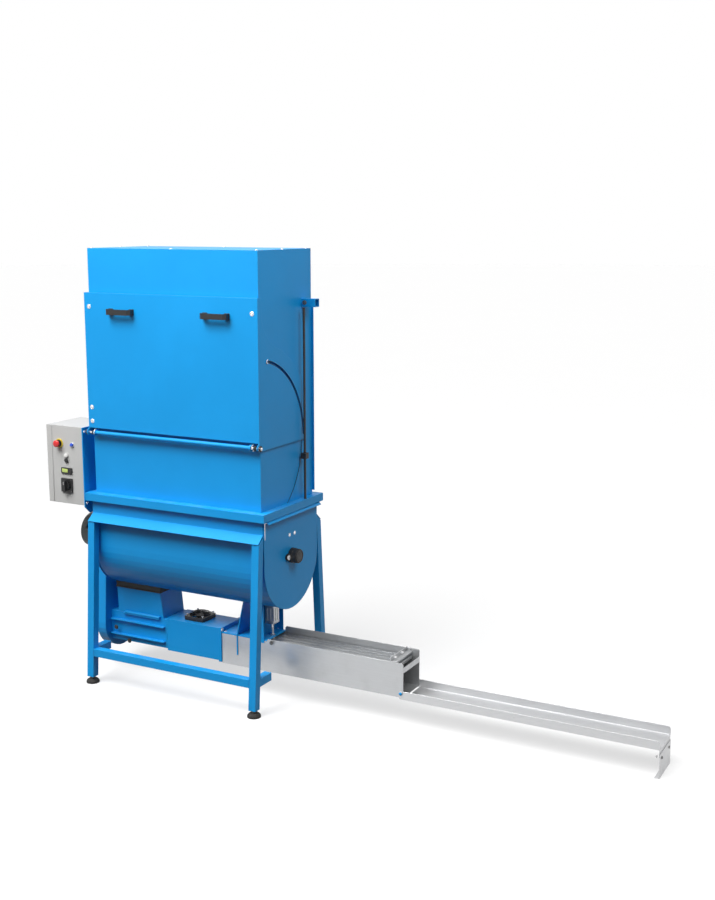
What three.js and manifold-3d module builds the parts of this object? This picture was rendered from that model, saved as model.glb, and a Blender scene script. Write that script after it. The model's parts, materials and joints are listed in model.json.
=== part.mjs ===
// Screw-type foam compactor: a tall hopper with a swing-down loading door over a U-shaped shredder
// trough, a compaction screw below it, and an aluminium brake channel with an outfeed tray.
// Units are millimetres. +X runs along the outfeed, +Y to the back, +Z up.
// While modelling, X = 0 is the hopper's middle, Y = 0 the machine's middle plane and Z = 0 the floor.

import * as THREE from 'three';
import { mergeVertices } from 'three/addons/utils/BufferGeometryUtils.js';
import Module from 'manifold-3d';

// ---------------------------------------------------------------- driving dimensions
const GAP = 0.3;                  // clearance between pieces that touch
const SHEET = 3;                  // sheet metal thickness

const HOPPER = { halfWidth: 500, halfDepth: 243.5, bottom: 1000, top: 2240 };
const FEED_OPENING = { bottom: 1380, top: 1985 };

const FRAME = { halfLength: 540, halfDepth: 285.5, width: 50, bottom: 960, wall: 3 };
const REAR_COVER = { halfWidth: 512, thickness: 4, bottom: 1020, top: 1960 };

const DOOR = { front: -268.5, bottom: 1340, top: 2022, topReturn: 16 };
const HINGE = { y: -271.5, z: 1317, tubeRadius: 10, boltRadius: 6 };
const WING = { inner: 507, thickness: 4, back: 171.5, bottom: 1300, sweepRadius: 492, earRadius: 17 };
const SLOT = { radius: 413, halfWidth: 5, startDeg: 1.6, endDeg: 80, steps: 20 };
const STOP_PIN = { angleDeg: 79, radius: 4, headRadius: 9 };
const HANDLE = { x: 280, z: 1932, length: 150, height: 27, reach: 40, bar: 10 };

const TROUGH = { radius: 250, axisZ: 718, top: 956.7, halfLength: 515.7, wall: 4 };
const TROUGH_END = { inner: 516, thickness: 4, radius: 254, lip: 18 };
const APRON = { face: -258, foldZ: 894, tipY: -302, tipZ: 857, thickness: 3.5, halfLength: 515.7 };

const LEG = { outer: 518, width: 40, bottomZ: 35, bottomFront: -352, wall: 3 };
const LOWER_RAIL = { front: -343, bottom: 147, size: 40 };
const SIDE_RAIL = { start: -306, end: -200 };
const FOOT = { radius: 34, stemRadius: 7, y: -332 };

const SHAFT_Z = 736;              // shredder rotor and gearmotor output
const ROTOR = { shaftRadius: 20, left: -642, right: 545, paddleReach: 212, paddles: 12 };
const SCREW_Z = 245;
const SCREW = { shaftRadius: 22, radius: 62, pitch: 112, left: -606, flightLeft: -498, right: 70 };
const SPROCKET = { left: -592, thickness: 9, pitch: 19.05, rotorTeeth: 15, screwTeeth: 38 };
const GUARD = { left: -612, right: -556, wall: 3, lowRadius: 145, highRadius: 112 };
const MOTOR = { z: 723, radius: 84, gearboxLeft: -655, bodyLeft: -712, cowlLeft: -747 };
const TERMINAL_BOX = { left: -705, right: -662, reach: 34, halfHeight: 30 };

const THROAT = { left: -512, right: -226, halfDepth: 93, bottom: 318, gasketBottom: 455, gasketTop: 492 };
const HOUSING = { left: -555.5, right: -190, halfDepth: 92, bottom: 160, top: 317.7, wall: 5 };
const PRESS = { left: -189.7, right: 137, halfDepth: 91.5, bottom: 150, top: 322, wall: 6 };
const PRESS_FLANGE = { left: 136, right: 153.7, halfDepth: 97, bottom: 145, top: 326 };
const FAN = { x: -42, side: 120, height: 20, boreRadius: 55, hubRadius: 20 };

const CHANNEL = { left: 154, right: 1185, halfWidth: 91.5, bottom: 140, lowTop: 298, frontTop: 310,
  rearTop: 326, stepX: 425, wall: 3 };
const PLATE = { left: 330, pivotX: 1138, pivotZ: 282, bottom: 276, top: 288, ribTop: 292, halfWidth: 86 };
const CYLINDER = { x: 402, side: 50, bottom: 368, top: 466.5, rodRadius: 8, footRadius: 15 };
const TRAY = { left: 1163, floorLeft: 1187, right: 2414, halfWidth: 94, wall: 2.2, bottom: 132, top: 172,
  pivotX: 1175, pivotZ: 161, lipBottom: 97 };
const TRAY_FOOT = { thickness: 3, top: 112, halfWidth: 92, toe: 22 };

const BOX = { left: -799, right: -563.3, front: -263.5, back: 6.5, bottom: 925, top: 1333, lid: 14 };
const BRACKET = { left: -562.7, right: -556.7, front: -268.5, bottom: 881.5, top: 1333 };

// ---------------------------------------------------------------- finishes
const finish = (colour, roughness, metalness) =>
  new THREE.MeshStandardMaterial({ color: colour, roughness, metalness });
const FINISH = {
  blue: finish(0x1c8cd8, 0.42, 0.1),
  black: finish(0x17181a, 0.5, 0.0),
  rubber: finish(0x101010, 0.85, 0.0),
  steel: finish(0xb9bcc0, 0.35, 0.9),
  darkSteel: finish(0x3a3d40, 0.5, 0.8),
  aluminium: finish(0xb4b6b8, 0.45, 0.85),
  motorGrey: finish(0x3d4244, 0.6, 0.3),
  boxGrey: finish(0xc4c5c4, 0.5, 0.1),
  red: finish(0xd51c20, 0.35, 0.0),
  yellow: finish(0xe8c400, 0.45, 0.0),
  signalBlue: finish(0x1d4fc4, 0.3, 0.0),
  white: finish(0xf0f0ee, 0.35, 0.0),
};

// ---------------------------------------------------------------- solid helpers
const wasm = await Module();
wasm.setup();

function toSolid(geometry) {
  const bare = geometry.clone();
  bare.deleteAttribute('normal');
  bare.deleteAttribute('uv');
  const merged = mergeVertices(bare, 1e-4);
  return new wasm.Manifold(new wasm.Mesh({
    numProp: 3,
    vertProperties: new Float32Array(merged.attributes.position.array),
    triVerts: new Uint32Array(merged.index.array),
  }));
}

function toGeometry(solid) {
  const mesh = solid.getMesh();
  const geometry = new THREE.BufferGeometry();
  geometry.setAttribute('position', new THREE.BufferAttribute(new Float32Array(mesh.vertProperties), 3));
  geometry.setIndex(new THREE.BufferAttribute(new Uint32Array(mesh.triVerts), 1));
  geometry.computeVertexNormals();
  return geometry;
}

const join = (...pieces) => toGeometry(pieces.map(toSolid).reduce((sum, next) => sum.add(next)));
const cut = (base, ...tools) =>
  toGeometry(tools.map(toSolid).reduce((rest, tool) => rest.subtract(tool), toSolid(base)));

function block(x, y, z) {
  const geometry = new THREE.BoxGeometry(x[1] - x[0], y[1] - y[0], z[1] - z[0]);
  return geometry.translate((x[0] + x[1]) / 2, (y[0] + y[1]) / 2, (z[0] + z[1]) / 2);
}

function outlineShape(points, holes = []) {
  const shape = new THREE.Shape(points.map(([u, v]) => new THREE.Vector2(u, v)));
  for (const hole of holes) shape.holes.push(new THREE.Path(hole.map(([u, v]) => new THREE.Vector2(u, v))));
  return shape;
}

function extruded(points, holes, depth) {
  return new THREE.ExtrudeGeometry(outlineShape(points, holes), { depth, bevelEnabled: false });
}

// A (y, z) outline extruded along X, an (x, z) outline along Y, and an (x, y) outline along Z.
function alongX(points, [low, high], holes = []) {
  const turn = new THREE.Matrix4().set(0, 0, 1, low, 1, 0, 0, 0, 0, 1, 0, 0, 0, 0, 0, 1);
  return extruded(points, holes, high - low).applyMatrix4(turn);
}
const alongY = (points, [low, high], holes = []) =>
  extruded(points, holes, high - low).rotateX(Math.PI / 2).translate(0, high, 0);
const alongZ = (points, [low, high], holes = []) =>
  extruded(points, holes, high - low).translate(0, 0, low);

// Cylinders, given by radius, their span and the other two coordinates.
const rodX = (radius, [low, high], y, z, sides = 20) =>
  new THREE.CylinderGeometry(radius, radius, high - low, sides).rotateZ(Math.PI / 2)
    .translate((low + high) / 2, y, z);
const rodY = (radius, [low, high], x, z, sides = 20) =>
  new THREE.CylinderGeometry(radius, radius, high - low, sides).translate(x, (low + high) / 2, z);
const rodZ = (radius, [low, high], x, y, sides = 20) =>
  new THREE.CylinderGeometry(radius, radius, high - low, sides).rotateX(Math.PI / 2)
    .translate(x, y, (low + high) / 2);

function arc(centreU, centreV, radius, fromDeg, toDeg, steps) {
  return Array.from({ length: steps + 1 }, (_, i) => {
    const angle = THREE.MathUtils.degToRad(fromDeg + (toDeg - fromDeg) * i / steps);
    return [centreU + radius * Math.cos(angle), centreV + radius * Math.sin(angle)];
  });
}

const circle = (u, v, radius, sides = 20) => arc(u, v, radius, 0, 360, sides).slice(0, -1);
const span = (half) => [-half, half];
const sideSpan = (side, inner, outer) => (side < 0 ? [-outer, -inner] : [inner, outer]);
const SIDES = [['left', -1], ['right', 1]];
const ENDS = [['front', -1], ['rear', 1]];

// ---------------------------------------------------------------- the scene graph
const machine = new THREE.Group();

function part(name, geometry, material) {
  const mesh = new THREE.Mesh(geometry, material);
  mesh.name = name;
  machine.add(mesh);
}

// ---------------------------------------------------------------- hopper
function buildHopper() {
  const { halfWidth, halfDepth, bottom, top } = HOPPER;
  const low = bottom + GAP;
  const high = top - SHEET - GAP;
  const frontSkin = [-halfDepth, -halfDepth + SHEET];
  part('hopper_top_cover', block(span(halfWidth), span(halfDepth), [top - SHEET, top]), FINISH.blue);
  part('hopper_hood_front', block(span(halfWidth), frontSkin, [FEED_OPENING.top, high]), FINISH.blue);
  part('hopper_front_lower', block(span(halfWidth), frontSkin, [low, FEED_OPENING.bottom]), FINISH.blue);
  part('hopper_back', block(span(halfWidth), [halfDepth - SHEET, halfDepth], [low, high]), FINISH.blue);
  for (const [name, side] of SIDES) {
    const skin = block(
      sideSpan(side, halfWidth - SHEET, halfWidth), span(halfDepth - SHEET - GAP), [low, high]);
    const stub = side > 0 ? [squareTubeX([halfWidth - 1, 580], [146, 186], [1958, 1998])] : [];
    part(`hopper_side_${name}`, join(skin, ...stopPin(side), ...stub), FINISH.blue);
  }
  const rear = [halfDepth + GAP, halfDepth + GAP + REAR_COVER.thickness];
  part('rear_cover_panel', block(span(REAR_COVER.halfWidth), rear, [REAR_COVER.bottom, REAR_COVER.top]),
    FINISH.blue);
}

function buildBaseFrame() {
  const { halfLength, halfDepth, width, bottom, wall } = FRAME;
  const top = HOPPER.bottom;
  const ring = (inset, [low, high]) => cut(
    block(span(halfLength - inset), span(halfDepth - inset), [low, high]),
    block(span(halfLength - width + inset), span(halfDepth - width + inset), [low - 1, high + 1]),
  );
  part('base_frame', cut(ring(0, [bottom, top]), ring(wall, [bottom - 1, top - wall])), FINISH.blue);
}

// ---------------------------------------------------------------- loading door
function wingOutline() {
  const { y, z } = HINGE;
  return [
    ...arc(y, z, WING.earRadius, 150, 270, 5),
    [WING.back, WING.bottom],
    ...arc(y, z, WING.sweepRadius, 26, 54, 7),
    [-64.5, 1766], [-110, 1781], [-148.5, 1804], [-182, 1831], [-205.5, 1858], [-223, 1887],
    [-233.5, 1916], [-236.5, 1960], [-236.5, DOOR.top], [DOOR.front, DOOR.top], [DOOR.front, z + 24],
  ];
}

function buildDoor() {
  const { y, z } = HINGE;
  const skin = [DOOR.front, DOOR.front + SHEET];
  const slot = [
    ...arc(y, z, SLOT.radius + SLOT.halfWidth, SLOT.startDeg, SLOT.endDeg, SLOT.steps),
    ...arc(y, z, SLOT.radius - SLOT.halfWidth, SLOT.endDeg, SLOT.startDeg, SLOT.steps),
  ];
  const wings = SIDES.map(([, side]) => alongX(wingOutline(),
    sideSpan(side, WING.inner, WING.inner + WING.thickness), [slot, circle(y, z, HINGE.boltRadius + 0.6)]));
  const width = span(WING.inner + 1);
  part('loading_door', join(
    block(width, skin, [DOOR.bottom, DOOR.top]),
    block(width, [DOOR.front, DOOR.front + DOOR.topReturn], [DOOR.top - SHEET, DOOR.top]),
    ...wings,
  ), FINISH.blue);
  const brackets = [];
  for (const [name, side] of SIDES) {
    part(`door_handle_${name}`, doorHandle(side * HANDLE.x), FINISH.black);
    const head = WING.inner + WING.thickness + GAP;
    part(`hinge_bolt_${name}`, join(
      rodX(HINGE.boltRadius, sideSpan(side, 458, head + 1), y, z),
      rodX(11, sideSpan(side, head, head + 8), y, z, 6),
    ), FINISH.steel);
    brackets.push(alongX([...arc(y, z, 16, 90, 270, 8), [-HOPPER.halfDepth - GAP, z - 16],
      [-HOPPER.halfDepth - GAP, z + 16]], sideSpan(side, 462, 470)));
  }
  part('hinge_cross_tube', cut(join(rodX(HINGE.tubeRadius, span(464), y, z), ...brackets),
    rodX(HINGE.boltRadius + GAP, span(480), y, z)), FINISH.blue);
}

function doorHandle(x) {
  const face = DOOR.front - GAP;
  const { length, height, reach, bar, z } = HANDLE;
  const half = length / 2;
  const outline = [
    [-half, face], [-half, face - reach + 14], [-half + 14, face - reach], [half - 14, face - reach],
    [half, face - reach + 14], [half, face], [half - 26, face], [half - 26, face - 6],
    [half - bar, face - 10], [half - bar, face - reach + 17], [half - 18, face - reach + bar],
    [-half + 18, face - reach + bar], [-half + bar, face - reach + 17], [-half + bar, face - 10],
    [-half + 26, face - 6], [-half + 26, face],
  ].map(([u, v]) => [x + u, v]);
  return alongZ(outline, [z - height / 2, z + height / 2]);
}

function stopPin(side) {
  const angle = THREE.MathUtils.degToRad(STOP_PIN.angleDeg);
  const y = HINGE.y + SLOT.radius * Math.cos(angle);
  const z = HINGE.z + SLOT.radius * Math.sin(angle);
  const wall = HOPPER.halfWidth - 1;
  const head = WING.inner + WING.thickness + GAP;
  return [
    rodX(STOP_PIN.headRadius, sideSpan(side, wall, WING.inner - GAP), y, z),
    rodX(STOP_PIN.radius, sideSpan(side, wall, head + 1), y, z),
    rodX(STOP_PIN.headRadius, sideSpan(side, head, head + 7), y, z),
  ];
}

// ---------------------------------------------------------------- trough and its stand
function troughOutline(radius, steps) {
  return [[-radius, TROUGH.top], ...arc(0, TROUGH.axisZ, radius, 180, 360, steps), [radius, TROUGH.top]];
}

function buildTrough() {
  const { radius, halfLength, wall, top } = TROUGH;
  const section = [...troughOutline(radius, 26), ...troughOutline(radius - wall, 26).reverse()];
  part('trough_shell', cut(join(alongX(section, span(halfLength)), ...aprons()),
    block([THROAT.left + 18, THROAT.right - 18], span(THROAT.halfDepth - 14), [440, 560])), FINISH.blue);
  for (const [name, side] of SIDES) {
    const { inner, thickness, radius: endRadius, lip } = TROUGH_END;
    part(`trough_end_${name}`, join(
      alongX(troughOutline(endRadius, 26), sideSpan(side, inner, inner + thickness),
        [circle(0, SHAFT_Z, ROTOR.shaftRadius + 4)]),
      block(sideSpan(side, inner + thickness - 1, inner + thickness + lip), span(endRadius),
        [top - SHEET, top]),
    ), FINISH.blue);
  }
}

function aprons() {
  const { face, foldZ, tipY, tipZ, thickness, halfLength } = APRON;
  const fold = [[face, TROUGH.top], [face, foldZ], [tipY, tipZ], [tipY + 2.3, tipZ - 2.7],
    [face + thickness, foldZ - 1.6], [1 - TROUGH.radius, foldZ - 1.6], [1 - TROUGH.radius, TROUGH.top]];
  return ENDS.map(([, end]) => {
    const outline = fold.map(([y, z]) => [-end * y, z]);
    return alongX(end < 0 ? outline : outline.reverse(), span(halfLength));
  });
}

function legSolid(side, end) {
  const { outer, width, bottomZ, bottomFront, wall } = LEG;
  const outline = [[bottomFront, bottomZ], [bottomFront + width, bottomZ], [-255.5, 885], [-297.8, 851]];
  const hollow = [[bottomFront + wall, bottomZ + 5], [bottomFront + width - wall, bottomZ + 5],
    [-255.5 - wall, 905], [-297.8 + wall, 871]];
  const place = (points) => points.map(([y, z]) => [-end * y, z]);
  return cut(alongX(place(outline), sideSpan(side, outer - width, outer)),
    alongX(place(hollow), sideSpan(side, outer - width + wall, outer - wall)));
}

function footGeometry(x, y) {
  const { radius, stemRadius } = FOOT;
  const profile = [[0, 0], [radius, 0], [radius, 6], [radius - 3, 12], [radius - 10, 18], [radius - 19, 22],
    [stemRadius, 24], [stemRadius, LEG.bottomZ - GAP], [0, LEG.bottomZ - GAP]];
  return new THREE.LatheGeometry(profile.map(([r, z]) => new THREE.Vector2(r, z)), 24)
    .rotateX(Math.PI / 2).translate(x, y, 0);
}

function squareTubeX(x, y, z) {
  const inset = ([low, high]) => [low + LEG.wall, high - LEG.wall];
  return cut(block(x, y, z), block([x[0] - 1, x[1] + 1], inset(y), inset(z)));
}

// A rail that is open along its underside.
function openRail(x, y, z) {
  const inset = ([low, high]) => [low + LEG.wall, high - LEG.wall];
  return cut(block(x, y, z), block(inset(x), inset(y), [z[0] - 1, z[1] - LEG.wall]));
}

function buildStand() {
  const { front, bottom, size } = LOWER_RAIL;
  const railZ = [bottom, bottom + size];
  const inner = LEG.outer - LEG.width;
  for (const [endName, end] of ENDS) {
    const pieces = [openRail(span(inner + 1), sideSpan(end, -front - size, -front), railZ)];
    for (const [sideName, side] of SIDES) {
      pieces.push(legSolid(side, end));
      part(`foot_${endName}_${sideName}`, footGeometry(side * (LEG.outer - LEG.width / 2), -end * FOOT.y),
        FINISH.rubber);
      if (end < 0) {
        pieces.push(openRail(sideSpan(side, inner, LEG.outer), [SIDE_RAIL.start, SIDE_RAIL.end], railZ));
      }
    }
    part(`stand_${endName}`, join(...pieces), FINISH.blue);
  }
}

// ---------------------------------------------------------------- shredder rotor and its drive
function bearing(side) {
  const base = TROUGH_END.inner + TROUGH_END.thickness + GAP;
  const housing = side > 0 ? base + 42 : base + 26;
  const bore = side > 0 ? base + 30 : housing + 1;
  const flange = [...arc(-46, SHAFT_Z, 16, 90, 270, 8), ...arc(46, SHAFT_Z, 16, -90, 90, 8)];
  return cut(join(
    alongX(flange, sideSpan(side, base, base + 12)),
    rodX(38, sideSpan(side, base, base + 20), 0, SHAFT_Z, 28),
    rodX(36, sideSpan(side, base, housing), 0, SHAFT_Z, 28),
  ), rodX(ROTOR.shaftRadius + GAP, sideSpan(side, base - 1, bore), 0, SHAFT_Z));
}

function buildRotor() {
  const { shaftRadius, left, right, paddleReach, paddles } = ROTOR;
  const blades = Array.from({ length: paddles }, (_, i) => {
    const x = -TROUGH.halfLength + 60 + i * (2 * TROUGH.halfLength - 120) / (paddles - 1);
    return block([x - 7, x + 7], [-24, 24], [0, paddleReach])
      .rotateX(THREE.MathUtils.degToRad(i * 75)).translate(0, 0, SHAFT_Z);
  });
  part('shredder_rotor', join(rodX(shaftRadius, [left, right], 0, SHAFT_Z), ...blades), FINISH.darkSteel);
  for (const [name, side] of SIDES) part(`rotor_bearing_${name}`, bearing(side), FINISH.black);
}

const pitchRadius = (teeth) => SPROCKET.pitch / (2 * Math.sin(Math.PI / teeth));

function sprocket(teeth, z, bore) {
  const radius = pitchRadius(teeth);
  const outline = Array.from({ length: teeth * 4 }, (_, i) => {
    const angle = 2 * Math.PI * i / (teeth * 4);
    const reach = i % 4 < 2 ? radius + 3 : radius - 5;
    return [reach * Math.cos(angle), z + reach * Math.sin(angle)];
  });
  return alongX(outline, [SPROCKET.left, SPROCKET.left + SPROCKET.thickness], [circle(0, z, bore + GAP)]);
}

// The loop around both shafts: the outer tangents of two circles, joined by their arcs.
function loopOutline(lowRadius, highRadius, steps) {
  const lean = THREE.MathUtils.radToDeg(Math.asin((lowRadius - highRadius) / (SHAFT_Z - SCREW_Z)));
  return [
    ...arc(0, SCREW_Z, lowRadius, 180 - lean, 360 + lean, steps),
    ...arc(0, SHAFT_Z, highRadius, lean, 180 - lean, steps),
  ];
}

function buildDrive() {
  const { left, right, wall, lowRadius, highRadius } = GUARD;
  const shell = loopOutline(lowRadius, highRadius, 16);
  const hollow = loopOutline(lowRadius - wall, highRadius - wall, 16);
  const shaftHoles = [circle(0, SHAFT_Z, ROTOR.shaftRadius + 4), circle(0, SCREW_Z, SCREW.shaftRadius + 4)];
  part('chain_guard_back', alongX(shell, [right - wall, right], shaftHoles), FINISH.blue);
  part('chain_guard_cover', cut(alongX(shell, [left, right - wall - GAP]),
    alongX(hollow, [left + wall, right]), rodX(ROTOR.shaftRadius + 4, [left - 1, left + 9], 0, SHAFT_Z)),
  FINISH.blue);
  const small = pitchRadius(SPROCKET.rotorTeeth);
  const large = pitchRadius(SPROCKET.screwTeeth);
  part('rotor_sprocket', sprocket(SPROCKET.rotorTeeth, SHAFT_Z, ROTOR.shaftRadius), FINISH.darkSteel);
  part('screw_sprocket', sprocket(SPROCKET.screwTeeth, SCREW_Z, SCREW.shaftRadius), FINISH.darkSteel);
  part('drive_chain', alongX(loopOutline(large + 12, small + 12, 14),
    [SPROCKET.left - 2, SPROCKET.left + SPROCKET.thickness + 2],
    [loopOutline(large + 4, small + 4, 14)]), FINISH.darkSteel);
  buildGearmotor();
}

function buildGearmotor() {
  const { z, radius, gearboxLeft, bodyLeft, cowlLeft } = MOTOR;
  const box = TERMINAL_BOX;
  const face = GUARD.left - GAP;
  const fins = 20;
  const finned = Array.from({ length: fins * 4 }, (_, i) => {
    const angle = 2 * Math.PI * i / (fins * 4);
    const reach = i % 4 < 2 ? radius : radius - 12;
    return [reach * Math.cos(angle), z + reach * Math.sin(angle)];
  });
  part('drive_gearmotor', cut(join(
    block([gearboxLeft, face], [-72, 72], [z - 78, z + 92]),
    alongX(finned, [bodyLeft - 1, gearboxLeft + 1]),
    rodX(90, [cowlLeft, bodyLeft], 0, z, 32),
    block([box.left, box.right], [-radius - box.reach, 14 - radius], [z - box.halfHeight, z + box.halfHeight]),
  ), rodX(ROTOR.shaftRadius + GAP, [ROTOR.left - 2, face + 1], 0, SHAFT_Z)), FINISH.motorGrey);
}

// ---------------------------------------------------------------- throat, screw and press box
function frustum(bottomX, topX, bottomHalfY, topHalfY, [low, high]) {
  const geometry = block([0, 1], [0, 1], [0, 1]);
  const place = geometry.attributes.position;
  for (let i = 0; i < place.count; i += 1) {
    const top = place.getZ(i) > 0.5;
    const x = (top ? topX : bottomX)[place.getX(i) > 0.5 ? 1 : 0];
    const y = (top ? topHalfY : bottomHalfY) * (place.getY(i) > 0.5 ? 1 : -1);
    place.setXYZ(i, x, y, top ? high : low);
  }
  return geometry;
}

function buildThroat() {
  const { left, right, halfDepth, bottom, gasketBottom, gasketTop } = THROAT;
  const passage = block([left + 18, right - 18], span(halfDepth - 14), [bottom - 20, 560]);
  const shell = rodX(TROUGH.radius + GAP, [left - 1, right + 1], 0, TROUGH.axisZ, 96);
  part('throat_gasket', cut(block([left, right], span(halfDepth + 3), [gasketBottom, gasketTop]),
    passage, shell), FINISH.rubber);
  part('throat_chute', cut(
    frustum([left + 6, right + 14], [left + 2, right - 2], halfDepth - 3, halfDepth,
      [bottom, gasketBottom - GAP]),
    frustum([left + 12, right + 8], [left + 8, right - 8], halfDepth - 9, halfDepth - 6,
      [bottom - 1, gasketBottom + 1]),
  ), FINISH.blue);
}

function buildScrewHousing() {
  const { left, right, halfDepth, bottom, top, wall } = HOUSING;
  const ribs = [[272, 277], [192, 197]].flatMap((z) =>
    ENDS.map(([, end]) => block([left + 6, right - 12], sideSpan(end, halfDepth - 1, halfDepth + 20), z)));
  const flange = block([left + 88, right - 42], span(halfDepth + 12), [top - 6, top]);
  part('screw_housing', cut(join(block([left, right], span(halfDepth), [bottom, top]), ...ribs, flange),
    block([left + wall, right + 1], span(halfDepth - wall), [bottom + wall, top - wall]),
    block([THROAT.left + 12, THROAT.right + 8], span(halfDepth - 8), [top - wall - 1, top + 1]),
    rodX(SCREW.shaftRadius + 4, [left - 1, left + wall + 1], 0, SCREW_Z),
  ), FINISH.blue);
}

function helicalFlight() {
  const { shaftRadius, radius, pitch, flightLeft, right } = SCREW;
  const stepsPerTurn = 16;
  const steps = Math.round((right - flightLeft - 12) / pitch * stepsPerTurn);
  const corners = [[shaftRadius - 4, 0], [radius, 0], [radius, 9], [shaftRadius - 4, 9]];
  const positions = [];
  for (let i = 0; i <= steps; i += 1) {
    const angle = 2 * Math.PI * i / stepsPerTurn;
    for (const [r, offset] of corners) {
      const x = flightLeft + pitch * i / stepsPerTurn + offset;
      positions.push(x, r * Math.cos(angle), SCREW_Z + r * Math.sin(angle));
    }
  }
  const faces = [0, 1, 2, 0, 2, 3];
  const end = steps * 4;
  faces.push(end, end + 2, end + 1, end, end + 3, end + 2);
  for (let i = 0; i < steps; i += 1) {
    for (let k = 0; k < 4; k += 1) {
      const a = i * 4 + k;
      const b = i * 4 + (k + 1) % 4;
      faces.push(a, a + 4, b, b, a + 4, b + 4);
    }
  }
  const geometry = new THREE.BufferGeometry();
  geometry.setAttribute('position', new THREE.Float32BufferAttribute(positions, 3));
  geometry.setIndex(faces);
  return geometry;
}

function buildScrew() {
  const { shaftRadius, left, right } = SCREW;
  part('compaction_screw', join(rodX(shaftRadius, [left, right], 0, SCREW_Z), helicalFlight()),
    FINISH.darkSteel);
}

function buildPressBox() {
  const { left, right, halfDepth, bottom, top, wall } = PRESS;
  const flange = PRESS_FLANGE;
  part('press_box', cut(join(
    block([left, right], span(halfDepth), [bottom, top]),
    block([flange.left, flange.right], span(flange.halfDepth), [flange.bottom, flange.top]),
  ), block([left - 1, right + 1], span(halfDepth - wall), [bottom + wall, top - wall]),
  block([right, flange.right + 1], span(halfDepth - wall), [bottom + wall, top - wall - 24])), FINISH.blue);
  buildFan(top + GAP);
}

function buildFan(seat) {
  const { x, side, height, boreRadius, hubRadius } = FAN;
  const half = side / 2;
  const corners = [[-1, -1], [1, -1], [1, 1], [-1, 1]];
  const outline = corners.flatMap(([u, v], i) => arc(x + u * (half - 8), v * (half - 8), 8,
    180 + 90 * i, 270 + 90 * i, 3));
  const struts = [0, 90].map((angle) => block([-boreRadius - 2, boreRadius + 2], [-3, 3], [0, 3])
    .rotateZ(THREE.MathUtils.degToRad(angle + 45)).translate(x, 0, seat));
  part('cooling_fan_frame', join(
    alongZ(outline, [seat, seat + height], [circle(x, 0, boreRadius, 32)]),
    ...struts, rodZ(hubRadius, [seat, seat + 4], x, 0),
  ), FINISH.black);
  const blades = Array.from({ length: 7 }, (_, i) => block([12, boreRadius - 4], [-12, 12], [-1, 1])
    .rotateX(THREE.MathUtils.degToRad(28)).rotateZ(2 * Math.PI * i / 7)
    .translate(x, 0, seat + height / 2 + 2));
  part('cooling_fan_rotor', join(rodZ(hubRadius, [seat + 4 + GAP, seat + height - 2], x, 0), ...blades),
    FINISH.black);
}

// ---------------------------------------------------------------- brake channel
function buildChannel() {
  const { left, right, halfWidth, bottom, lowTop, stepX, wall } = CHANNEL;
  const inner = halfWidth - wall;
  const walls = ENDS.map(([, end]) => {
    const high = end < 0 ? CHANNEL.frontTop : CHANNEL.rearTop;
    const outline = [[left, bottom], [right, bottom], [right, high - 6], [right - 6, high],
      [stepX + 8, high], [stepX, high - 8], [stepX, lowTop], [left, lowTop]];
    return alongY(outline, sideSpan(end, inner, halfWidth));
  });
  const crossBar = [
    block([1116, 1119.5], [-halfWidth, inner + 1], [CHANNEL.frontTop - 1, 331]),
    block([1116, 1150], [-halfWidth, inner + 1], [CHANNEL.frontTop - 1, CHANNEL.frontTop + 4]),
  ];
  const trayBolts = ENDS.flatMap(([, end]) => [
    rodY(4, sideSpan(end, halfWidth - 1, TRAY.halfWidth + 2), TRAY.pivotX, TRAY.pivotZ),
    rodY(8, sideSpan(end, TRAY.halfWidth + GAP, TRAY.halfWidth + 6), TRAY.pivotX, TRAY.pivotZ, 6),
  ]);
  part('brake_channel', join(
    block([left, right], span(inner + 1), [bottom, bottom + wall]), ...walls, ...crossBar, ...trayBolts,
    block([right - 5, right], span(inner + 1), [262, 286]),
    rodY(5, span(inner + 1), PLATE.pivotX, PLATE.pivotZ),
  ), FINISH.aluminium);
  part('channel_top_plate', cut(
    block([left, stepX - GAP], span(halfWidth), [lowTop + GAP, lowTop + 7]),
    rodZ(CYLINDER.footRadius + 4, [lowTop - 1, lowTop + 10], CYLINDER.x, 0, 24)), FINISH.blue);
  buildPressurePlate();
  buildHangers();
}

function buildPressurePlate() {
  const { left, pivotX, pivotZ, bottom, top, ribTop, halfWidth } = PLATE;
  const ribs = [-74, -37, 0, 37, 74].map((y) =>
    block([stepRibStart(), pivotX - 24], [y - 5, y + 5], [top - 1, ribTop]));
  part('pressure_plate', cut(join(
    block([left, pivotX - 16], span(halfWidth), [bottom, top]), ...ribs,
    block([pivotX - 22, pivotX], span(halfWidth), [pivotZ - 6, pivotZ + 6]),
    rodY(11, span(halfWidth), pivotX, pivotZ),
  ), rodY(5.4, span(halfWidth + 1), pivotX, pivotZ)), FINISH.aluminium);
}

const stepRibStart = () => CHANNEL.stepX + 14;

function buildHangers() {
  const { halfWidth, lowTop } = CHANNEL;
  const outer = halfWidth + 3.6;
  const seat = lowTop + 7 + GAP;
  const troughCut = rodX(TROUGH.radius + GAP, [200, 460], 0, TROUGH.axisZ, 52);
  const tabs = (x, low) => ENDS.map(([, end]) =>
    block(x, sideSpan(end, halfWidth + GAP, outer), [low, seat + 6]));
  const leaning = [[246, seat], [252, seat], [303.5, 520], [297.5, 520]];
  part('channel_hanger_left', cut(join(alongY(leaning, span(outer)), ...tabs([246, 252], 198)), troughCut),
    FINISH.blue);
  const straps = ENDS.map(([, end]) =>
    block([366, 410], sideSpan(end, outer - 4, outer), [seat, 520]));
  part('channel_hanger_right', cut(join(
    block([366, 372], span(outer), [seat, 520]), ...straps, ...tabs([384, 410], 288)), troughCut),
  FINISH.blue);
}

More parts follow.
